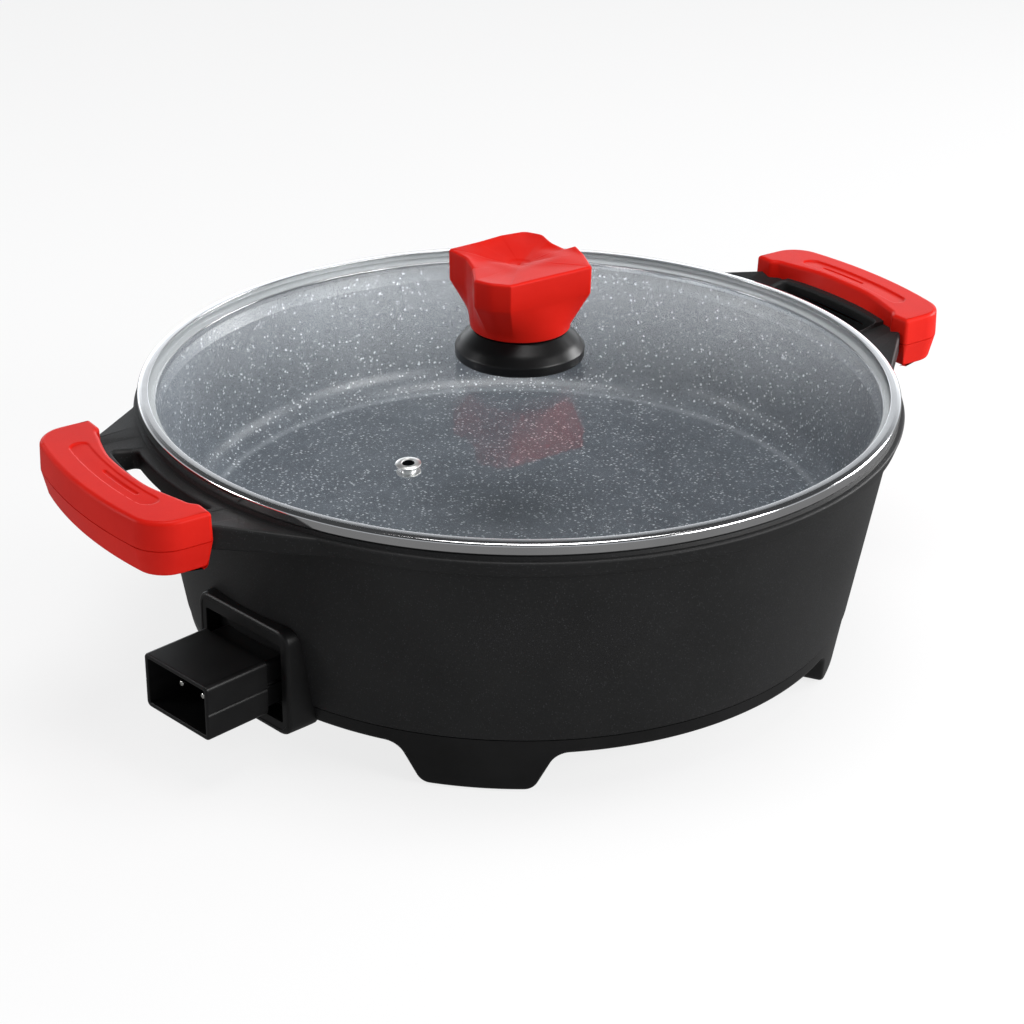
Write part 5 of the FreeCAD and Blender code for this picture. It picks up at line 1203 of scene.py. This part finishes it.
def spotTree(finishName):
    # puts one copy of a piece on every point of the incoming mesh and turns it to face outward
    tree = bpy.data.node_groups.new("setOut" + finishName, "GeometryNodeTree")
    for label, kind in (("Spots", "Geometry"), ("Piece", "Object"), ("Size", "Float"),
                        ("Random spin", "Float")):
        made = tree.interface.new_socket(label, in_out="INPUT", socket_type="NodeSocket" + kind)
        if kind == "Float":
            made.default_value = 1.0 if label == "Size" else 0.0
    tree.interface.new_socket("Geometry", in_out="OUTPUT", socket_type="NodeSocketGeometry")
    take, give = tree.nodes.new("NodeGroupInput").outputs, tree.nodes.new("NodeGroupOutput")
    info = put(tree, "GeometryNodeObjectInfo", {"Object": take["Piece"]})
    place = tree.nodes.new("GeometryNodeInputPosition").outputs[0]
    where = put(tree, "ShaderNodeSeparateXYZ", {0: place}).outputs
    chance = put(tree, "FunctionNodeRandomValue", {"Seed": 7}, data_type="FLOAT")
    extra = calc(tree, "MULTIPLY", chance.outputs[1], take["Random spin"])
    turn = calc(tree, "ADD", calc(tree, "ARCTAN2", where["Y"], where["X"]), extra)
    angles = put(tree, "ShaderNodeCombineXYZ", {"Z": turn})
    copies = put(tree, "GeometryNodeInstanceOnPoints", {"Points": take["Spots"], "Scale": take["Size"],
                 "Instance": info.outputs["Geometry"], "Rotation": angles.outputs[0]})
    real = put(tree, "GeometryNodeRealizeInstances", {"Geometry": copies.outputs[0]})
    coloured = put(tree, "GeometryNodeSetMaterial", {"Geometry": real.outputs[0],
                   "Material": finishes[finishName]})
    tree.links.new(coloured.outputs[0], give.inputs[0])
    return tree


def setOut(name, source, spots, finishName, body, slotName, replaced=(), spin=0.0):
    mesh = bpy.data.meshes.new(name)
    mesh.from_pydata([tuple(c * mm for c in p) for p in spots], [], [])
    piece = addObject(name, mesh)
    tree = spotTree(finishName)
    modifier = piece.modifiers.new("setOut", "NODES")
    modifier.node_group = tree
    sockets = {item.name: item.identifier for item in tree.interface.items_tree if item.in_out == "INPUT"}
    for label, value in (("Piece", source), ("Size", 1.0), ("Random spin", spin)):
        modifier[sockets[label]] = value
    bpy.context.view_layer.update()
    applied(piece).set_sharp_from_angle(angle=math.radians(35))
    bpy.data.objects.remove(source)
    return fit(piece, body, slotName, *replaced)


def onCircle(radius, level, angles):
    return [polar(radius, math.radians(a), level) for a in angles]


screwHead = SimpleNamespace(
    radius=3.7, height=2.4, crown=0.5, recess=1.3, arm=0.55, reach=2.1, shank=2.0,
    steps=48, rings=12,
)
bossSpots = (136.0, [220, 310, 40, 130])  # radius and directions of the bosses and their screws
# name, shank length, seats, node
screwSets = [
    ("baseScrews", 16.0, onCircle(bossSpots[0], 23.0, bossSpots[1]), "base_screws"),
    ("rightGripScrews", 17.0, onCircle(203.0, 109.95, [8, -8]), "right_grip_screws"),
    ("leftGripScrews", 17.0, onCircle(203.0, 109.95, [188, 172]), "left_grip_screws"),
]


def crossScrew(length):
    # a pan-head screw, its seat at height 0, its head below with a cross recess
    radius, height, crown = screwHead.radius, screwHead.height, screwHead.crown
    arm, reach, shank = screwHead.arm, screwHead.reach, screwHead.shank
    steps, rings = screwHead.steps, screwHead.rings
    points = []
    for ring in range(rings + 1):
        share = ring / rings
        for k in range(steps):
            x, y = polar(radius * share, math.tau * k / steps)
            inside = max(min(arm - abs(x), reach - abs(y)), min(arm - abs(y), reach - abs(x)))
            level = -height + crown * smoothStep(share, 0.55, 1.0)
            points.append((x, y, level + screwHead.recess * smoothStep(inside, -0.12, 0.12)))
    faces = gridFaces([list(range(ring * steps, (ring + 1) * steps)) for ring in range(rings + 1)])
    side = softened([(radius, -height + crown, 0), (radius, 0, 0.3), (shank, 0, 0.2),
                     (shank, length - 1, 0.4), (0, length, 0)], closed=False, turns=3)
    return joinShapes((points, faces), turnedShape(side, steps)[:2])


def makeScrews():
    for name, length, spots, node in screwSets:
        source = makePiece(name + "Source", *crossScrew(length), "zincScrew", 35)
        setOut(name, source, spots, "zincScrew", "pot", "zinc_screw", (node,), 3.0)


pad = SimpleNamespace(halfAcross=2.45, halfAlong=14.9, top=1.9, edge=0.45, circle=145.55)


def makeFootPads():
    # one rubber pad under each foot
    def padLoop(level, by, radius):
        across, along = pad.halfAcross - by, pad.halfAlong - by
        return [(x, y, level) for x, y in frameLoop(-across, across, -along, along, radius, 6, 5)]

    edge, foot = pad.edge, base.footAngle
    loops = [padLoop(pad.top, 0.0, 1.6), padLoop(edge, 0.0, 1.6)]
    loops += [padLoop(below, across, 1.3) for below, across in roundedEdge(edge, 3)]
    source = makePiece("padSource", *stacked(loops), "blackRubber", 35)
    spots = onCircle(pad.circle, 0.0, [foot, 180 - foot, 180 + foot, 360 - foot])
    setOut("footPads", source, spots, "blackRubber", "pot", "black_rubber", ("foot_pads",))


louvre = SimpleNamespace(
    half=17.5, stations=12, low=2.1, reach=3.2, level=23.2, swell=1.5, flatten=0.9,
    sheet=0.35, circle=74.0, spacing=30,
)


def makeLouvres():
    # pressed hoods beside the vent slots in the bottom cover
    half, stations = louvre.half, louvre.stations
    loops = []
    for station in range(stations + 1):
        x = -half + 2 * half * station / stations
        swell = math.sin(math.pi * station / stations) ** 0.45 if 0 < station < stations else 0.0
        turns = [math.pi / 2 * k / 7 for k in range(8)]
        arc = [(x, louvre.low + louvre.reach * (1 - math.sin(turn)),
                louvre.level - louvre.swell * swell * math.cos(turn) * louvre.flatten) for turn in turns]
        loops.append(arc + [(x, y, z + louvre.sheet) for x, y, z in arc[::-1]])
    source = makePiece("louvreSource", *stacked(loops), "sheetSteel", 35)
    spots = onCircle(louvre.circle, 0.0, range(0, 360, louvre.spacing))
    setOut("ventLouvres", source, spots, "sheetSteel", "pot", "grey_sheet_steel")


boss = SimpleNamespace(hole=2.05, tip=5.5, root=6.2, low=27.9, high=53.0)


def makeBosses():
    # screw bosses that stand under the cooking floor
    outer = softened([(boss.hole, boss.low, 0.3), (boss.tip, boss.low, 0.5),
                      (boss.root, boss.high, 0), (boss.hole, boss.high, 0)], turns=3)
    points, faces = turnedShape(outer[::-1], 40, closed=True)[:2]
    source = makePiece("bossSource", points, faces, "blackPaint", 35)
    spots = onCircle(bossSpots[0], 0.0, bossSpots[1])
    setOut("screwBosses", source, spots, "blackPaint", "pot", "black_coated_aluminium")


# floor and surroundings

def makeFloor():
    # the camera sees it almost white; reflections see a dimmer one
    colour = (*lightSetup.floorColour, 1.0)
    finish, tree, shader = newFinish("paleFloor")
    grained = useGroup(tree, grain, GrainPerMetre=300.0, PatchPerMetre=2.0)
    feed(tree, shader, {
        "Base Color": blend(tree, grained.outputs["Patch"], colour, rgb(0.88, 0.88, 0.885)),
        "Roughness": 0.9, "Specular IOR Level": 0.1,
    })
    glow, mirrored = (put(tree, "ShaderNodeEmission", {"Color": rgb(1, 1, 1), "Strength": strength})
                      for strength in (1.0, lightSetup.floorInGloss))
    rays = tree.nodes.new("ShaderNodeLightPath").outputs
    seen = calc(tree, "MAXIMUM", rays["Is Camera Ray"], rays["Is Transmission Ray"])
    mixed = showInstead(tree, calc(tree, "MULTIPLY", seen, lightSetup.floorWhite), shader, glow)
    showInstead(tree, calc(tree, "SUBTRACT", rays["Is Glossy Ray"], seen, True), mixed, mirrored)
    finishes["paleFloor"] = finish
    half, level = 9000, -0.05
    points = [(-half, -half, level), (half, -half, level), (half, half, level), (-half, half, level)]
    makePiece("floor", points, [[0, 1, 2, 3]], "paleFloor")


def makeWorld():
    # white for the camera; reflections see the gloss levels, diffuse rays an even light
    world = bpy.data.worlds.new("studio")
    world.use_nodes = True
    tree = world.node_tree
    tree.nodes.clear()
    rays = tree.nodes.new("ShaderNodeLightPath").outputs
    camera, glossy, passing = rays["Is Camera Ray"], rays["Is Glossy Ray"], rays["Is Transmission Ray"]
    direction = tree.nodes.new("ShaderNodeTexCoord").outputs["Generated"]
    height = put(tree, "ShaderNodeSeparateXYZ", {0: direction}).outputs["Z"]
    back = polar(1.0, math.radians(lightSetup.backTurn), 0)
    facing = put(tree, "ShaderNodeVectorMath", {0: direction, 1: back},
                 operation="DOT_PRODUCT").outputs["Value"]
    top, horizon, behind = lightSetup.glossTop, lightSetup.glossHorizon, lightSetup.glossBack
    low = calc(tree, "MULTIPLY", ramp(tree, height, 0.2, 0.6, 1.0, 0.0), horizon - top)
    spot = calc(tree, "MULTIPLY", ramp(tree, facing, 0.68, 0.98), ramp(tree, height, 0.14, 0.52, 1.0, 0.0))
    bright = calc(tree, "MULTIPLY", spot, behind - horizon)
    gloss = calc(tree, "ADD", calc(tree, "ADD", low, bright), top)
    through = calc(tree, "MULTIPLY", passing, calc(tree, "LESS_THAN", height, 0.0))
    seen = calc(tree, "MAXIMUM", camera, through)
    diffuse = calc(tree, "MULTIPLY", rays["Is Diffuse Ray"], lightSetup.worldLevel)
    shiny = calc(tree, "MULTIPLY", calc(tree, "MAXIMUM", glossy, passing), gloss)
    other = calc(tree, "MULTIPLY", calc(tree, "SUBTRACT", 1.0, seen), calc(tree, "MAXIMUM", diffuse, shiny))
    tint = blend(tree, seen, rgb(0.93, 0.965, 1.0), rgb(1, 1, 1))
    studio = put(tree, "ShaderNodeBackground", {"Color": tint, "Strength": calc(tree, "ADD", seen, other)})
    tree.links.new(studio.outputs[0], tree.nodes.new("ShaderNodeOutputWorld").inputs[0])
    bpy.context.scene.world = world


addCamera()
addLamps()
makeWorld()
makeFloor()
dressCadNodes()
print("stage ready")
makePot()
makeLugs()
makeGrips()
print("pot and grips made")
makeBase()
makeFootPads()
makeLouvres()
makeBosses()
makeScrews()
print("base made")
makePlate()
makeSleeve()
makePins()
print("socket made")
makeRing()
makeGlass()
makeVent()
makeKnobBase()
makeCap()
print("lid made")

bpy.context.scene.view_settings.view_transform = "Standard"
